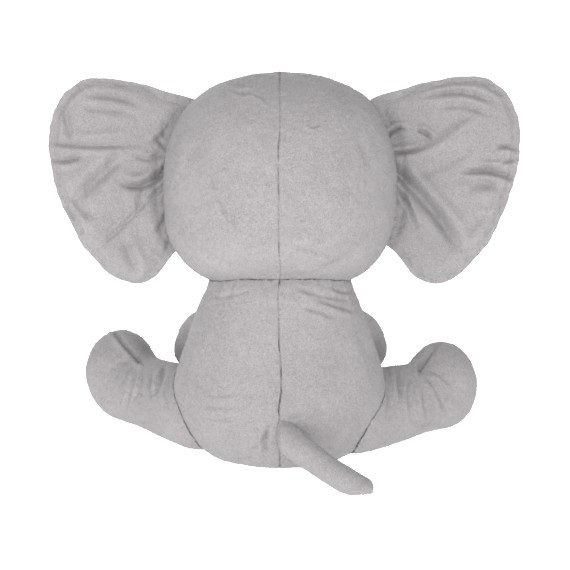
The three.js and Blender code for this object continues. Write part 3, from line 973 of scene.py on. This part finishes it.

# ---------------- limbs
# Two distances for each body, out from the root, and for the ears from the head's middle, where it would
# blend into its parent. They are only stored, in blends.
BLEND = {"leg": (18, 46), "arm": (4, 26), "tail": (6, 26), "trunk": (6, 34), "ear": (91, 112)}
covers, fills, piles, limb_skins, blends = {}, {}, {}, {}, {}


def add_limb(name, coarse, relief, parent, place, fill_seed, end=None):
    """The cover, filling and pile of a limb sewn on its parent, from its coarse form, which is used up.

    place is its root, the inner point that its root is drawn back towards, and its way out. relief takes
    points and normals. end is a point and a direction: no pile grows past it.
    """
    root, anchor, way = place
    neighbour = {"torso": torso_skin, "head": head_skin}[parent]
    body = name.replace("_cover", "")
    fills[body] = filling(coarse, name.replace("cover", "stuffing"), fill_seed, neighbour, anchor)
    wall = inner_wall(coarse, neighbour, anchor)
    cover = duplicate(coarse, name)
    subdivide(cover, 1)
    draw_back(cover, neighbour, -0.9, anchor)
    subdivide(cover, 1)
    displace(cover, relief(read(cover), normals(cover)))
    draw_back(cover, neighbour, ROOT_GAP, anchor)
    above_floor(cover)
    limb_skins[body] = tree_of(cover)
    bare = None if end is None else (lambda p: (p - end[0]) @ end[1] > -0.6)
    piles[body] = grow_pile(cover, f"pile_{body}", fill_seed + 300, [neighbour], bare)
    line_with(cover, wall)
    bpy.data.objects.remove(coarse)
    start, stop = BLEND[body.partition("_")[0]]
    blends[body] = (parent, np.array(root) + way * start, np.array(root) + way * stop)
    covers[body] = cover
    return cover


# ---------------- legs
LEG_FOLDS = {
    LEFT: [
        ([(132, 92), (121, 80), (109, 67)], 1.6, 2.6, True, True),
        ([(109, 67), (114, 50), (121, 28)], 1.6, 1.6),
        ([(104, 65), (108, 48), (114, 36)], 1.4, 1.4),
        ([(98, 62), (99, 48), (97, 36)], 1.3, 1.2),
        ([(88, 67), (91, 54), (97, 41)], 1.7, 2.2),
        ([(82, 60), (86, 46), (84, 30)], 1.6, 1.2),
        ([(110, 68), (118, 60), (126, 44)], 1.7, 0.9),
        ([(112, 69), (124, 66), (136, 56)], 1.7, 0.7),
        ([(90, 30), (100, 24), (112, 20)], 1.8, 0.6),
    ],
    RIGHT: [
        ([(-130, 86), (-117, 76), (-107, 61)], 1.7, 2.6, True, True),
        ([(-106, 60), (-109, 43), (-112, 22)], 1.5, 1.3),
        ([(-108, 61), (-119, 47), (-127, 26)], 1.6, 1.2),
        ([(-100, 62), (-97, 46), (-100, 27)], 1.4, 1.3),
        ([(-88, 65), (-90, 54), (-92, 38)], 1.6, 1.8),
        ([(-78, 56), (-82, 40), (-80, 24)], 1.6, 1.4),
        ([(-109, 62), (-122, 58), (-134, 46)], 1.7, 0.8),
        ([(-96, 28), (-108, 20), (-122, 20)], 1.8, 0.6),
    ],
}
LEG_BURIED = 13  # how far inside the torso a leg's line starts
LEG_CLEAR = 0.3  # over the floor
soles = {}
for name, side in SIDES.items():
    root, splay = np.array(LEG_ROOT[side], float), LEG_SPLAY[side]
    along = np.array([math.cos(splay) * side, -math.sin(splay), 0])
    ahead = np.array([math.cos(splay + FOOT_TURN) * side, -math.sin(splay + FOOT_TURN), 0])
    ankle = root + along * ANKLE_AT
    ankle[2] = sum(LEG_RADII) / 2 + LEG_CLEAR
    heel = root + along * (FOOT_AT[side] - HEEL_AT)
    heel[2] = LEG_RADII[1] + LEG_CLEAR
    leg = Limb([root - along * LEG_BURIED, ankle, heel], LEG_RADII).form(f"leg_coarse_{name}", inset=0.6)
    # The foot is a ball of three sizes, pressed flatter at its sole.
    foot = root + along * FOOT_AT[side]
    foot[2] = FOOT_Z[side]
    p, faces = sphere_grid(40, 30)
    across = np.array([-ahead[1], ahead[0], 0])
    sizes = [(across, "wide"), (ahead, "deep"), (np.array([0, 0, 1.0]), "tall")]
    shape = sum(np.outer(p[:, k], way) * (FOOT_HALF[key] - 0.6) for k, (way, key) in enumerate(sizes))
    past = shape @ ahead - (SOLE_AT + 3)
    shape -= np.outer(np.maximum(0, past) * 0.75, ahead)
    bulb = new_object("bulb", foot + shape, faces)
    with editing(leg) as b:
        b.from_mesh(bulb.data)
    bpy.data.objects.remove(bulb)
    stuffed(leg, "leg", smoothing=6)
    above_floor(leg, 0.15)
    sole_point = foot + ahead * SOLE_AT

    def leg_relief(q, n, side=side, end=sole_point, ahead=ahead):
        marks = 1.2 * folds(from_behind(q), LEG_FOLDS[side]) * back_facing(n)
        marks *= smoothstep(0, 7, (end - q) @ ahead)
        return (pile_relief(q, 31 + side) + marks) * smoothstep(0, 6, q[:, 2])

    place = (root, ankle, along)
    cover = add_limb(
        f"leg_cover_{name}", leg, leg_relief, "torso", place, 33 + side, (sole_point, ahead)
    )
    soles[side] = split(cover, f"leg_sole_{name}", sole_point, ahead)

# ---------------- arms
PAD_AT = 12  # past the hand's centre
PAD_THICK = 1.5
pads = {}
for name, side in SIDES.items():
    points = [np.array((x * side, y, z), float) for x, y, z in ARM_POINTS]
    arm = Limb(points, ARM_RADII).form(f"arm_coarse_{name}", inset=0.5)
    shoulder, wrist, hand = points
    reach = unit(hand - wrist)
    flatten_end(arm, hand + reach * (PAD_AT + PAD_THICK), reach)
    stuffed(arm, "arm")

    def arm_relief(q, n, side=side):
        seam = np.where(n[:, 1] > -0.2, 1, 0) * seam_relief(q[:, 0] - 58 * side, q[:, 2], 45, depth=0.9)
        return pile_relief(q, 41 + side) * 0.7 + seam

    pad_point = hand + reach * PAD_AT
    place = (shoulder, wrist, unit(wrist - shoulder))
    cover = add_limb(
        f"arm_cover_{name}", arm, arm_relief, "torso", place, 43 + side, (pad_point, reach)
    )
    pads[side] = split(cover, f"arm_pad_{name}", pad_point, reach)

# ---------------- tail
tail_limb = Limb(TAIL_POINTS, TAIL_RADII)
tail = tail_limb.form("tail_coarse", inset=0.4)
# It is pressed at its root's outer side, under its tip, at its cut end and on the floor.
flatten_end(tail, (1.5, 60, 36), (1, 0.1, 0))
flatten_end(tail, (-58, 100, 7.6), (-0.13, 0.306, -0.942), soft=0)
flatten_end(tail, (-68, 100, 7), (-1, 0, 0), soft=0.1)
flatten_end(tail, (0, 0, 0.8), (0, 0, -1))
stuffed(tail, "tail")


def tail_relief(q, n):
    s, out = tail_limb.locate(q)
    under = np.sum(n * np.array([0.25, 0.1, -1]), axis=1)
    seam = smoothstep(0.2, 0.6, under) * seam_relief(out[:, 0] * 0.6 + out[:, 1] * 0.8, s, 55, depth=0.9)
    gathers = bell(s - 4, 6) * noise_2d(np.arctan2(n[:, 2], n[:, 1]) * 12, s * 0.2, 3, 56)
    frayed = smoothstep(tail_limb.length - 3, tail_limb.length + 8, s) * value_noise(q, 2.0, 57)
    return pile_relief(q, 51) * 0.7 + seam + 0.8 * gathers + 0.9 * frayed


tail_way = unit(np.array(TAIL_POINTS[1], float) - TAIL_POINTS[0])
add_limb("tail_cover", tail, tail_relief, "torso", (TAIL_POINTS[0], TAIL_POINTS[1], tail_way), 53)

# ---------------- trunk
DISC_AT = 6  # past the trunk's last point
RINGS_AT = (26, 38, 50, 62, 74)  # the folds round it
trunk_limb = Limb(TRUNK_POINTS, TRUNK_RADII)
trunk = trunk_limb.form("trunk_coarse", rings=64, inset=0.5)
trunk_end = np.array(TRUNK_POINTS[-1], float)
trunk_way = unit(trunk_end - TRUNK_POINTS[-2])
flatten_end(trunk, trunk_end + trunk_way * (DISC_AT + PAD_THICK), trunk_way)
stuffed(trunk, "trunk")


def trunk_relief(q, n):
    s, out = trunk_limb.locate(q)
    inside = smoothstep(-0.3, 0.5, n[:, 1])
    rings = sum(bell(s - at, 1.6) for at in RINGS_AT)
    seam = smoothstep(0.0, 0.4, n[:, 1]) * seam_relief(q[:, 0], s, 65, depth=1.0)
    return pile_relief(q, 61) * 0.7 - rings * (0.35 + 0.9 * inside) + seam


disc_point = trunk_end + trunk_way * DISC_AT
place = (TRUNK_POINTS[0], TRUNK_POINTS[1], unit(np.array(TRUNK_POINTS[1], float) - TRUNK_POINTS[0]))
cover = add_limb("trunk_cover", trunk, trunk_relief, "head", place, 63, (disc_point, trunk_way))
trunk_disc = split(cover, "trunk_end_disc", disc_point, trunk_way)

# ---------------- ears
EAR_FOLD_DEPTH = 0.85
# Each crease is its points in the ear's plane, as on the left side, its width and depth, and whether its
# start and its end are open, which leaves them deep. The last number is how high its ridge is.
EAR_FOLDS = {
    LEFT: [
        ([(80, 18), (88, 10), (97, 3), (108, 0), (124, 4)], 2.7, 7.0, True),
        ([(98, 2), (103, -8), (107, -18)], 3.0, 3.0),
        ([(112, 27), (126, 15), (140, 2), (158, -13)], 4.6, 5.6),
        ([(80, 6), (96, -8), (116, -28), (146, -56)], 1.8, 2.2, True),
        ([(82, 43), (89, 37), (98, 30)], 2.0, 2.8),
        ([(94, 40), (88, 31), (80, 26)], 1.6, 1.6),
        ([(84, 27), (98, 20), (112, 24)], 1.8, 2.4),
        ([(80, -12), (86, -24), (94, -38)], 1.9, 2.4, True),
        ([(75, -30), (82, -40), (86, -52)], 1.8, 1.8, True),
        ([(174, 21), (160, 19.5), (146, 23.5)], 2.0, 3.6, True),
        ([(174, 33), (140, 30), (98, 31)], 1.9, 2.4, True),
        ([(160, 38), (136, 38), (112, 41)], 2.6, -1.8),
        ([(150, 68), (125, 67), (101, 60)], 2.4, 3.0),
        ([(150, 57), (126, 57), (104, 52)], 2.4, 1.2),
        ([(158, -4), (148, -16), (136, -26)], 3.8, 3.0),
        ([(166, -12), (156, -20), (150, -32)], 2.0, 2.6, True),
        ([(104, -68), (112, -52), (117, -36)], 3.2, 3.2),
        ([(163, 66), (159, 50), (154, 30)], 2.8, 3.2),
    ],
    RIGHT: [
        ([(80, 15), (92, 6), (106, -9), (120, -26), (138, -53)], 4.2, 8.0, True),
        ([(80, 4), (91, -6), (98, -20), (104, -36)], 1.6, 3.0, True),
        ([(82, -4), (87, -12), (92, -20)], 1.5, 1.8, True),
        ([(78, 36), (88, 43), (96, 42)], 1.5, 4.2, True),
        ([(100, 43), (108, 40), (115, 34)], 1.5, 3.6),
        ([(78, 24), (90, 25), (102, 27), (110, 32)], 1.7, 4.2, True),
        ([(82, 20), (112, 27), (136, 43), (156, 57)], 4.2, -4.4, False, False, 0.15),
        ([(96, 6), (122, 16), (150, 33)], 3.6, 2.4),
        ([(176, 6), (158, 11), (130, 11)], 2.3, 5.0, True),
        ([(168, 2), (150, 4), (126, 7)], 3.6, 2.6),
        ([(172, 17), (160, 17), (146, 18)], 1.8, -2.2, True),
        ([(98, 66), (135, 70), (170, 60)], 2.4, 3.8),
        ([(112, 58), (138, 60), (162, 51)], 2.4, 2.8),
        ([(168, 0), (150, 0), (132, -6)], 3.4, 2.0),
        ([(156, -18), (144, -30), (140, -44)], 3.2, 2.4),
        ([(76, -34), (86, -46), (96, -56)], 2.2, 2.0, True),
        ([(177, 28), (168, 30), (160, 28)], 1.5, 3.4, True),
        ([(177, 20), (169, 18), (163, 15)], 1.4, 3.0, True),
    ],
}
EAR_HALF = 4.6
EAR_TALLER, EAR_WIDER = {LEFT: 1.2, RIGHT: 3.2}, {LEFT: 2.0, RIGHT: 1.0}
EAR_FELT = 1.6  # half the room that the batting takes
EAR_POINTS = 340  # round the outline
EAR_INNER_SPACING = 1.5
EAR_RIM = 400  # about how long the rim is
BATTING_SHARE = 0.88  # the size of its outline beside the ear's
BATTING_FROM = 97  # how far from the head's middle it starts


def closed_loop(outline):
    return np.vstack([outline, outline[:1]])


def rounding(t):
    """A quarter circle: 0 at 0, and 1 from 1 on."""
    return np.sqrt(np.clip(1 - (1 - np.minimum(t, 1)) ** 2, 0, 1))


def upright(points2, y):
    """Points of the ear's plane, which are x and height, with their y added."""
    return np.column_stack([points2[:, 0], y, points2[:, 1]])


def inside_outline(points2, outline):
    inside = np.zeros(len(points2), bool)
    x, y = points2[:, 0], points2[:, 1]
    for a, b in zip(outline, np.roll(outline, -1, axis=0)):
        crosses = (a[1] > y) != (b[1] > y)
        if crosses.any():
            at = (b[0] - a[0]) * (y - a[1]) / (b[1] - a[1] if b[1] != a[1] else 1e-9) + a[0]
            inside ^= crosses & (x < at)
    return inside


def flat_mesh(outline, spacing):
    """Triangles that fill an outline: its points come first."""
    low, high = outline.min(0), outline.max(0)
    rows = np.arange(low[1], high[1], spacing * math.sqrt(3) / 2)
    columns = np.arange(low[0], high[0], spacing)
    grid = np.array([(x + (r % 2) * spacing / 2, y) for r, y in enumerate(rows) for x in columns])
    grid = grid[inside_outline(grid, outline)]
    clear = np.abs(polyline_distance(grid, closed_loop(outline))[0]) > 0.6 * spacing
    points = np.vstack([outline, grid[clear]])
    count = len(outline)
    edges = [(i, (i + 1) % count) for i in range(count)]
    found, _, triangles, *_ = delaunay_2d_cdt([Vector(p) for p in points], edges, [], 1, 1e-6)
    assert len(found) == len(points)
    return np.array([tuple(v) for v in found]), [tuple(t) for t in triangles]


def closed_layer(name, top, top_faces, bottom, bottom_faces, rim):
    """A closed solid between two sheets in the head's axes. Their first rim points are their edges."""
    count = len(top)
    faces = list(top_faces) + [tuple(count + i for i in f) for f in bottom_faces]
    faces += [(i, (i + 1) % rim, count + (i + 1) % rim, count + i) for i in range(rim)]
    return new_object(name, head_to_frame(np.vstack([top, bottom])), faces)


class Ear:
    """Two panels sewn round their rim, with batting between, as heights over a plane across the head.

    facing is 1 for the side that faces back, and -1 for the one that faces forwards.
    """

    def __init__(self, side):
        self.side = side
        self.outline = self.sewn_outline()
        self.loop = closed_loop(self.outline)
        self.pillow = self.stuffed_pillow()

    def sewn_outline(self):
        side = self.side
        drawn = [((x + EAR_SHIFT[side]) * side, h) for x, h in EAR_OUTLINE]
        outline = catmull(drawn, EAR_POINTS, closed=True)
        for point in outline:
            start = head_to_frame((200 * side, EAR_PLANE_Y, point[1]))
            hit, *_ = head_skin.ray_cast(Vector(start * MM), Vector((-side, 0, 0)), 0.4)
            if hit is not None:
                clear = abs(hit.x / MM) + 0.6
                if abs(point[0]) < clear:
                    point[0] = side * clear
        loop = closed_loop(outline)
        run = distances(loop)
        outline = interpolated(np.linspace(0, run[-1], EAR_POINTS + 1)[:-1], run, loop)
        stray = noise_2d(outline[:, 0], outline[:, 1], 13, 71 + side) * 0.9
        stray = stray + noise_2d(outline[:, 0], outline[:, 1], 5, 73 + side) * 0.45
        outline[:, 1] += EAR_TALLER[side] * smoothstep(20, 75, outline[:, 1])
        outline[:, 0] += side * EAR_WIDER[side] * smoothstep(110, 168, np.abs(outline[:, 0]))
        centre = outline.mean(0)
        away = (outline - centre) / np.linalg.norm(outline - centre, axis=1, keepdims=True)
        outline += away * (stray * smoothstep(88, 104, np.abs(outline[:, 0])))[:, None]
        return outline

    def stuffed_pillow(self):
        """The shape that two sewn panels swell to, for measuring on."""
        edge = self.outline[::3]
        flat, faces = flat_mesh(edge, 4.0)
        depth = np.abs(polyline_distance(flat, closed_loop(edge))[0])
        half = 0.6 + (EAR_HALF - 1.4) * rounding(depth / 16)
        behind, ahead = upright(flat, EAR_PLANE_Y + half), upright(flat, EAR_PLANE_Y - half)
        pillow = closed_layer("pillow", behind, faces, ahead, faces, len(edge))
        voxel_remesh(pillow, VOXEL["ear"])
        smooth(pillow, 0.5, 2)
        inflate(pillow, SWELL_CAP["ear"], pressure=3.0)
        subdivide(pillow, 1)
        tree = tree_of(pillow)
        bpy.data.objects.remove(pillow)
        return tree

    def depth_in(self, points2):
        """How far points are from the rim."""
        return np.abs(polyline_distance(points2, self.loop)[0])

    def swell(self, points2, facing):
        """Half thickness of the pillow on one face, by casting rays at it, and a thick root."""
        way = Vector(head_to_frame((0, -facing, 0)) - HEAD_CENTRE)
        starts = head_to_frame(upright(points2, np.full(len(points2), EAR_PLANE_Y + 30.0 * facing)))
        out = np.zeros(len(points2))
        for i, start in enumerate(starts):
            hit, *_ = self.pillow.ray_cast(Vector(start * MM), way, 0.05)
            if hit is not None:
                out[i] = max(0, (frame_to_head(np.array(hit) / MM)[1] - EAR_PLANE_Y) * facing)
        at_head = 1 - smoothstep(88, 102, np.abs(points2[:, 0]))
        out = np.maximum(out, 3.0 * at_head)
        rounded = EAR_HALF * 1.15 * rounding((self.depth_in(points2) + 5 * at_head) / 7)
        return np.minimum(np.maximum(out, 0.5), rounded + 0.3)

    def middle(self, points2):
        """Where the folds put the ear's middle. They fade at the outer rim."""
        out = np.abs(points2[:, 0])
        shift = EAR_FOLD_DEPTH * folds(np.stack([out, points2[:, 1]], 1), EAR_FOLDS[self.side])
        shift *= 1 - 0.7 * smoothstep(105, 120, out) * (1 - smoothstep(0, 9, self.depth_in(points2)))
        return EAR_PLANE_Y + (shift + noise_2d(points2[:, 0], points2[:, 1], 30, 81 + self.side) * 1.6)

    def rim_marks(self, points2, seed):
        """The gathers at the rim, and the groove that its seam presses."""
        inward, share = polyline_distance(points2, self.loop)
        inward = np.abs(inward)
        run = share * EAR_RIM
        gathers = bell(inward, 7) * noise_2d(run, inward * 0.3, 3.4, seed) * 0.7
        pressed = (0.7 + 0.9 * smoothstep(-0.2, 0.4, noise_1d(run, 24, seed + 7))) * bell(inward - 5.5, 1.5)
        pressed *= smoothstep(96, 112, np.abs(points2[:, 0]))
        return gathers * smoothstep(0, 1.5, inward) - pressed

    def outer_face(self, points2, facing, seed):
        swell = self.swell(points2, facing)
        return self.middle(points2) + facing * swell + facing * self.rim_marks(points2, seed)

    def inner_face(self, points2, facing):
        felt = EAR_FELT * smoothstep(0, 14, self.depth_in(points2))
        return self.middle(points2) + facing * 0.05 + facing * felt

    def felt_face(self, points2, facing):
        lumps = noise_2d(points2[:, 0], points2[:, 1], 5, 91 + self.side) * 0.2
        felt = (EAR_FELT - 0.7 + lumps) * smoothstep(4, 18, self.depth_in(points2))
        return self.middle(points2) + facing * (0.1 + felt)

    def panel(self, name, facing, seed, pile_seed, spacing):
        """The cloth on one side, and how many of its first faces are on its outer side."""
        fine, fine_faces = flat_mesh(self.outline, spacing)
        wide, wide_faces = flat_mesh(self.outline, EAR_INNER_SPACING)
        outer = upright(fine, self.outer_face(fine, facing, seed))
        inner = upright(wide, self.inner_face(wide, facing))
        cloth = closed_layer(name, outer, fine_faces, inner, wide_faces, len(self.outline))
        shown = np.zeros(len(outer) + len(inner))
        shown[: len(outer)] = 1
        shown[: len(self.outline)] = 0.3
        displace(cloth, (pile_relief(read(cloth), pile_seed) * 0.6) * shown)
        settle(cloth, head_skin, ROOT_GAP, by_head)
        return cloth, len(fine_faces)

    def batting(self, name):
        centre = self.outline.mean(0)
        edge = centre + (self.outline[::2] - centre) * BATTING_SHARE
        edge[:, 0] = self.side * np.maximum(np.abs(edge[:, 0]), BATTING_FROM)
        flat, faces = flat_mesh(edge, EAR_INNER_SPACING)
        sheets = [upright(flat, self.felt_face(flat, facing)) for facing in (1, -1)]
        felt = closed_layer(name, sheets[0], faces, sheets[1], faces, len(edge))
        settle(felt, head_skin, ROOT_GAP, by_head)
        return felt


def by_head(points):
    return np.abs(points[:, 0]) < 95


ear_parts, ear_skins = {}, []
for name, side in SIDES.items():
    ear = Ear(side)
    back, back_faces = ear.panel(f"ear_back_{name}", 1, 83 + side, 84 + side, 1.1)
    lining, _ = ear.panel(f"ear_lining_{name}", -1, 87 + side, 89 + side, 1.3)
    ear_skins += [tree_of(back), tree_of(lining)]
    piles[f"ear_{name}"] = grow_pile(back, f"pile_ear_{name}", 401 + side, [head_skin], faces=back_faces)
    ear_parts[side] = (back, lining, ear.batting(f"ear_batting_{name}"))

# ---------------- eyes
EYE_WAY = (0.44, -1, -0.02)
EYE_RADIUS = 7
DOME_FROM, DOME_HEIGHT = 0.7, 4.8
# Radii and heights over the cloth, up to where the dome starts.
EYE_PROFILE = [
    (0, -15), (2.0, -15), (2.4, -14.4), (2.4, 0), (6.7, 0), (EYE_RADIUS, 0.25), (EYE_RADIUS, DOME_FROM),
]
EYE_TURNS = 40


def eye_seat(side):
    """Where an eye sits on the cloth, and its way out."""
    way = unit((EYE_WAY[0] * side, EYE_WAY[1], EYE_WAY[2]))
    near = [unit(way + np.array(step)) for step in ((0, 0, 0), (0.02, 0, 0), (0, 0, 0.02))]
    place, right_of, above = (head_to_frame(head_form(w[None])[0]) for w in near)
    out = unit(np.cross(right_of - place, above - place))
    out = out if out @ (place - HEAD_CENTRE) > 0 else -out
    hit, *_ = head_skin.ray_cast(Vector((place + out * 10) * MM), Vector(-out), 0.05)
    return np.array(hit) / MM + out * 0.15, out


def safety_eye(name, base, out):
    """A dome on a flange and a shank, turned about its way out."""
    arc = np.linspace(0.12, math.pi / 2 - 0.06, 12)
    dome = [(EYE_RADIUS * math.cos(a), DOME_FROM + DOME_HEIGHT * math.sin(a)) for a in arc]
    u = unit(np.cross(out, (0, 0, 1)))
    v = np.cross(out, u)
    turns = np.linspace(0, 2 * math.pi, EYE_TURNS + 1)[:-1]
    ways = [math.cos(t) * u + math.sin(t) * v for t in turns]
    rings = [[base + out * h + r * way for way in ways] for r, h in EYE_PROFILE[1:] + dome]
    top = base + out * (DOME_FROM + DOME_HEIGHT)
    return ring_form(name, base + out * EYE_PROFILE[0][1], rings, top)


eye_seats = {side: eye_seat(side) for side in SIDES.values()}
eyes = {side: safety_eye(f"eye_{name}", *eye_seats[side]) for name, side in SIDES.items()}

# ---------------- head and torso: fillings and panels
EYE_ROOM = 17.5  # how deep the filling is pushed in for an eye's shank and washer
EYE_BARE = 8.2  # no pile this near an eye's middle
PELLET_ROOM = {"wide": 42, "deep": 33, "top": 29, "bottom": 3.6}
head_fill = filling(head_coarse, "head_stuffing", 15)
q = read(head_fill)
for base, out in eye_seats.values():
    height = (q - base) @ out
    reach = np.linalg.norm(q - base - np.outer(height, out), axis=1)
    room = EYE_ROOM * (1 - smoothstep(9.5, 15, reach))
    too_high = (height > -room) & (reach < 15) & (height > -30)
    q[too_high] -= np.outer((height + room)[too_high], out)
write(head_fill, q)
torso_fill = filling(torso_coarse, "torso_stuffing", 25, head_skin, NECK_ANCHOR)
q = read(torso_fill)
reach = np.hypot(q[:, 0] / PELLET_ROOM["wide"], q[:, 1] / PELLET_ROOM["deep"])
rise = PELLET_ROOM["top"] - PELLET_ROOM["bottom"]
floor_height = PELLET_ROOM["bottom"] + rise * (1 - smoothstep(0.95, 1.15, reach))
q[:, 2] = np.where(q[:, 2] < 30, np.maximum(q[:, 2], floor_height), q[:, 2])
write(torso_fill, q)


def under_eye(p):
    return np.min([np.linalg.norm(p - base, axis=1) for base, _ in eye_seats.values()], axis=0) < EYE_BARE


piles["head"] = grow_pile(head, "pile_head", 411, [torso_skin, limb_skins["trunk"], *ear_skins], under_eye)
sewn_on = [skin for body, skin in limb_skins.items() if body != "trunk"]
piles["torso"] = grow_pile(torso, "pile_torso", 412, [head_skin, *sewn_on])
line_with(head, inner_wall(head_coarse))
line_with(torso, inner_wall(torso_coarse, head_skin, NECK_ANCHOR))
bpy.data.objects.remove(head_coarse)
bpy.data.objects.remove(torso_coarse)

face = split(head, "face_panel", FACE_SEAM, FACE_WAY)
head_right = split(head, "head_cover_right", (0, 0, 0), (-1, 0, 0))
seat = split(torso, "torso_seat_panel", (0, 0, 4.5), (0, 0, -1))
belly = split(torso, "torso_cover_belly", (0, SIDE_SEAM_Y, 0), (0, -1, 0))
torso_right = split(torso, "torso_cover_right", (0, 0, 0), (-1, 0, 0))

angles = np.linspace(math.radians(118), math.radians(-58), 400)
ways = [head_to_frame((0, -math.cos(a), -math.sin(a))) - HEAD_CENTRE for a in angles]
centres, outs = along_rays(head_skin, [HEAD_CENTRE - 150 * w for w in ways], ways, STITCH_PITCH)
head_stitches = stitch_line("head_back_stitches", head_skin, centres, outs)
starts = [(0, 150, z) for z in np.linspace(139, 8, 300)]
centres, outs = along_rays(torso_skin, starts, [(0, -1, 0)] * len(starts), STITCH_PITCH)
torso_stitches = stitch_line("torso_back_stitches", torso_skin, centres, outs)


def wander(obj):
    """Lets the centre seam stray a little from a straight line. Every layer near it moves together."""
    q = read(obj)
    stray = noise_1d(from_behind(q)[:, 1], 17, 99) * 1.6
    near = bell(q[:, 0], 26) * smoothstep(0, 30, q[:, 1]) * smoothstep(46, 62, q[:, 2])
    q[:, 0] += stray * near
    write(obj, q)


for o in (head, head_right, head_fill, head_stitches, piles["head"]):
    wander(o)
for o in (torso, torso_right, torso_fill, torso_stitches, piles["torso"]):
    wander(o)

# ---------------- what rides on what
for o in (head, head_right, face, head_fill, head_stitches, piles["head"], *eyes.values()):
    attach(o, "head")
for o in (torso, torso_right, belly, torso_fill, torso_stitches, piles["torso"]):
    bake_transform(o)
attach(seat, "torso")
for body, (parent, start, end) in blends.items():
    for o in (covers[body], fills[body], piles[body]):
        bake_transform(o)
for name, side in SIDES.items():
    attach(soles[side], f"leg_{name}")
    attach(pads[side], f"arm_{name}")
    for o in (*ear_parts[side], piles[f"ear_{name}"]):
        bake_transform(o)
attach(trunk_disc, "trunk")


def stands_for(o):
    """Names a piece after the CAD node that it replaces, and hides that node."""
    node = o.name.partition(".")[0]
    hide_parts(node)
    o.name = f"soft_{node}"


plush_pieces = [head, head_right, face, torso, torso_right, belly, seat, *covers.values()]
plush_pieces += [parts[0] for parts in ear_parts.values()]
fibre_pieces = [head_fill, torso_fill, *fills.values(), *(parts[2] for parts in ear_parts.values())]
lining_pieces = [parts[1] for parts in ear_parts.values()]
pad_pieces = [*soles.values(), *pads.values(), trunk_disc]
for group, material, slot in (
    (plush_pieces, PLUSH, "plush"),
    (fibre_pieces, FIBRE, "fibre"),
    (lining_pieces, LINING, "ear_lining"),
    (pad_pieces, PAD, "pad_felt"),
):
    for o in group:
        paint(o, material)
        stands_for(o)
for o in eyes.values():
    paint(o, EYE_BLACK)
    stands_for(o)
for o in (head_stitches, torso_stitches):
    paint(o, THREAD)
for o in piles.values():
    paint(o, PILE_PAINTED_LIGHTER)
for name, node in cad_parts.items():
    if "washer" in name:
        paint(node, WHITE_PLASTIC)
    elif name == "pellet_bag":
        paint(node, MUSLIN)

# ---------------- floor, light and camera
DISTANCE = 1.635
LENS = 135
AIM = Vector((-0.0038, -0.0392, 0.1205))  # the point that the middle of the picture shows


def area_light(name, place, target, size, power):
    data = bpy.data.lights.new(name, "AREA")
    data.shape = "DISK"
    data.size = size
    data.energy = power
    lamp = bpy.data.objects.new(name, data)
    lamp.location = place
    lamp.rotation_euler = (Vector(target) - Vector(place)).to_track_quat("-Z", "Y").to_euler()
    bpy.context.scene.collection.objects.link(lamp)


FLOOR_HALF, FLOOR_Z = 4000, -0.3
corners = [(x * FLOOR_HALF, y * FLOOR_HALF, FLOOR_Z) for x, y in ((-1, -1), (1, -1), (1, 1), (-1, 1))]
floor = new_object("floor", corners, [(0, 1, 2, 3)])
floor_material, nodes, links, shader = node_material("floor_white")
shader.inputs["Base Color"].default_value = (0.86, 0.86, 0.86, 1)
shader.inputs["Roughness"].default_value = 1.0
shader.inputs["Specular IOR Level"].default_value = 0.0
shader.inputs["Emission Color"].default_value = (1, 1, 1, 1)
shader.inputs["Emission Strength"].default_value = 1.1
paint(floor, floor_material)

world = bpy.data.worlds.new("studio")
world.use_nodes = True
world.node_tree.nodes["Background"].inputs["Color"].default_value = (1, 1, 1, 1)
world.node_tree.nodes["Background"].inputs["Strength"].default_value = 1.0
bpy.context.scene.world = world
area_light("key", (-0.3, 1.7, 0.75), (0, 0, 0.1), 1.1, 22)
area_light("fill", (0.95, 1.4, 0.7), (0, 0, 0.1), 1.1, 13)
area_light("front", (0.5, -1.7, 0.9), (0, 0, 0.15), 1.2, 28)

camera_data = bpy.data.cameras.new("camera")
camera_data.lens = LENS
camera = bpy.data.objects.new("camera", camera_data)
back = Vector((0, math.cos(VIEW_TILT), math.sin(VIEW_TILT)))
camera.location = AIM + back * DISTANCE
camera.rotation_euler = (-back).to_track_quat("-Z", "Y").to_euler()
bpy.context.scene.collection.objects.link(camera)
bpy.context.scene.camera = camera
bpy.context.scene.view_settings.view_transform = "Standard"
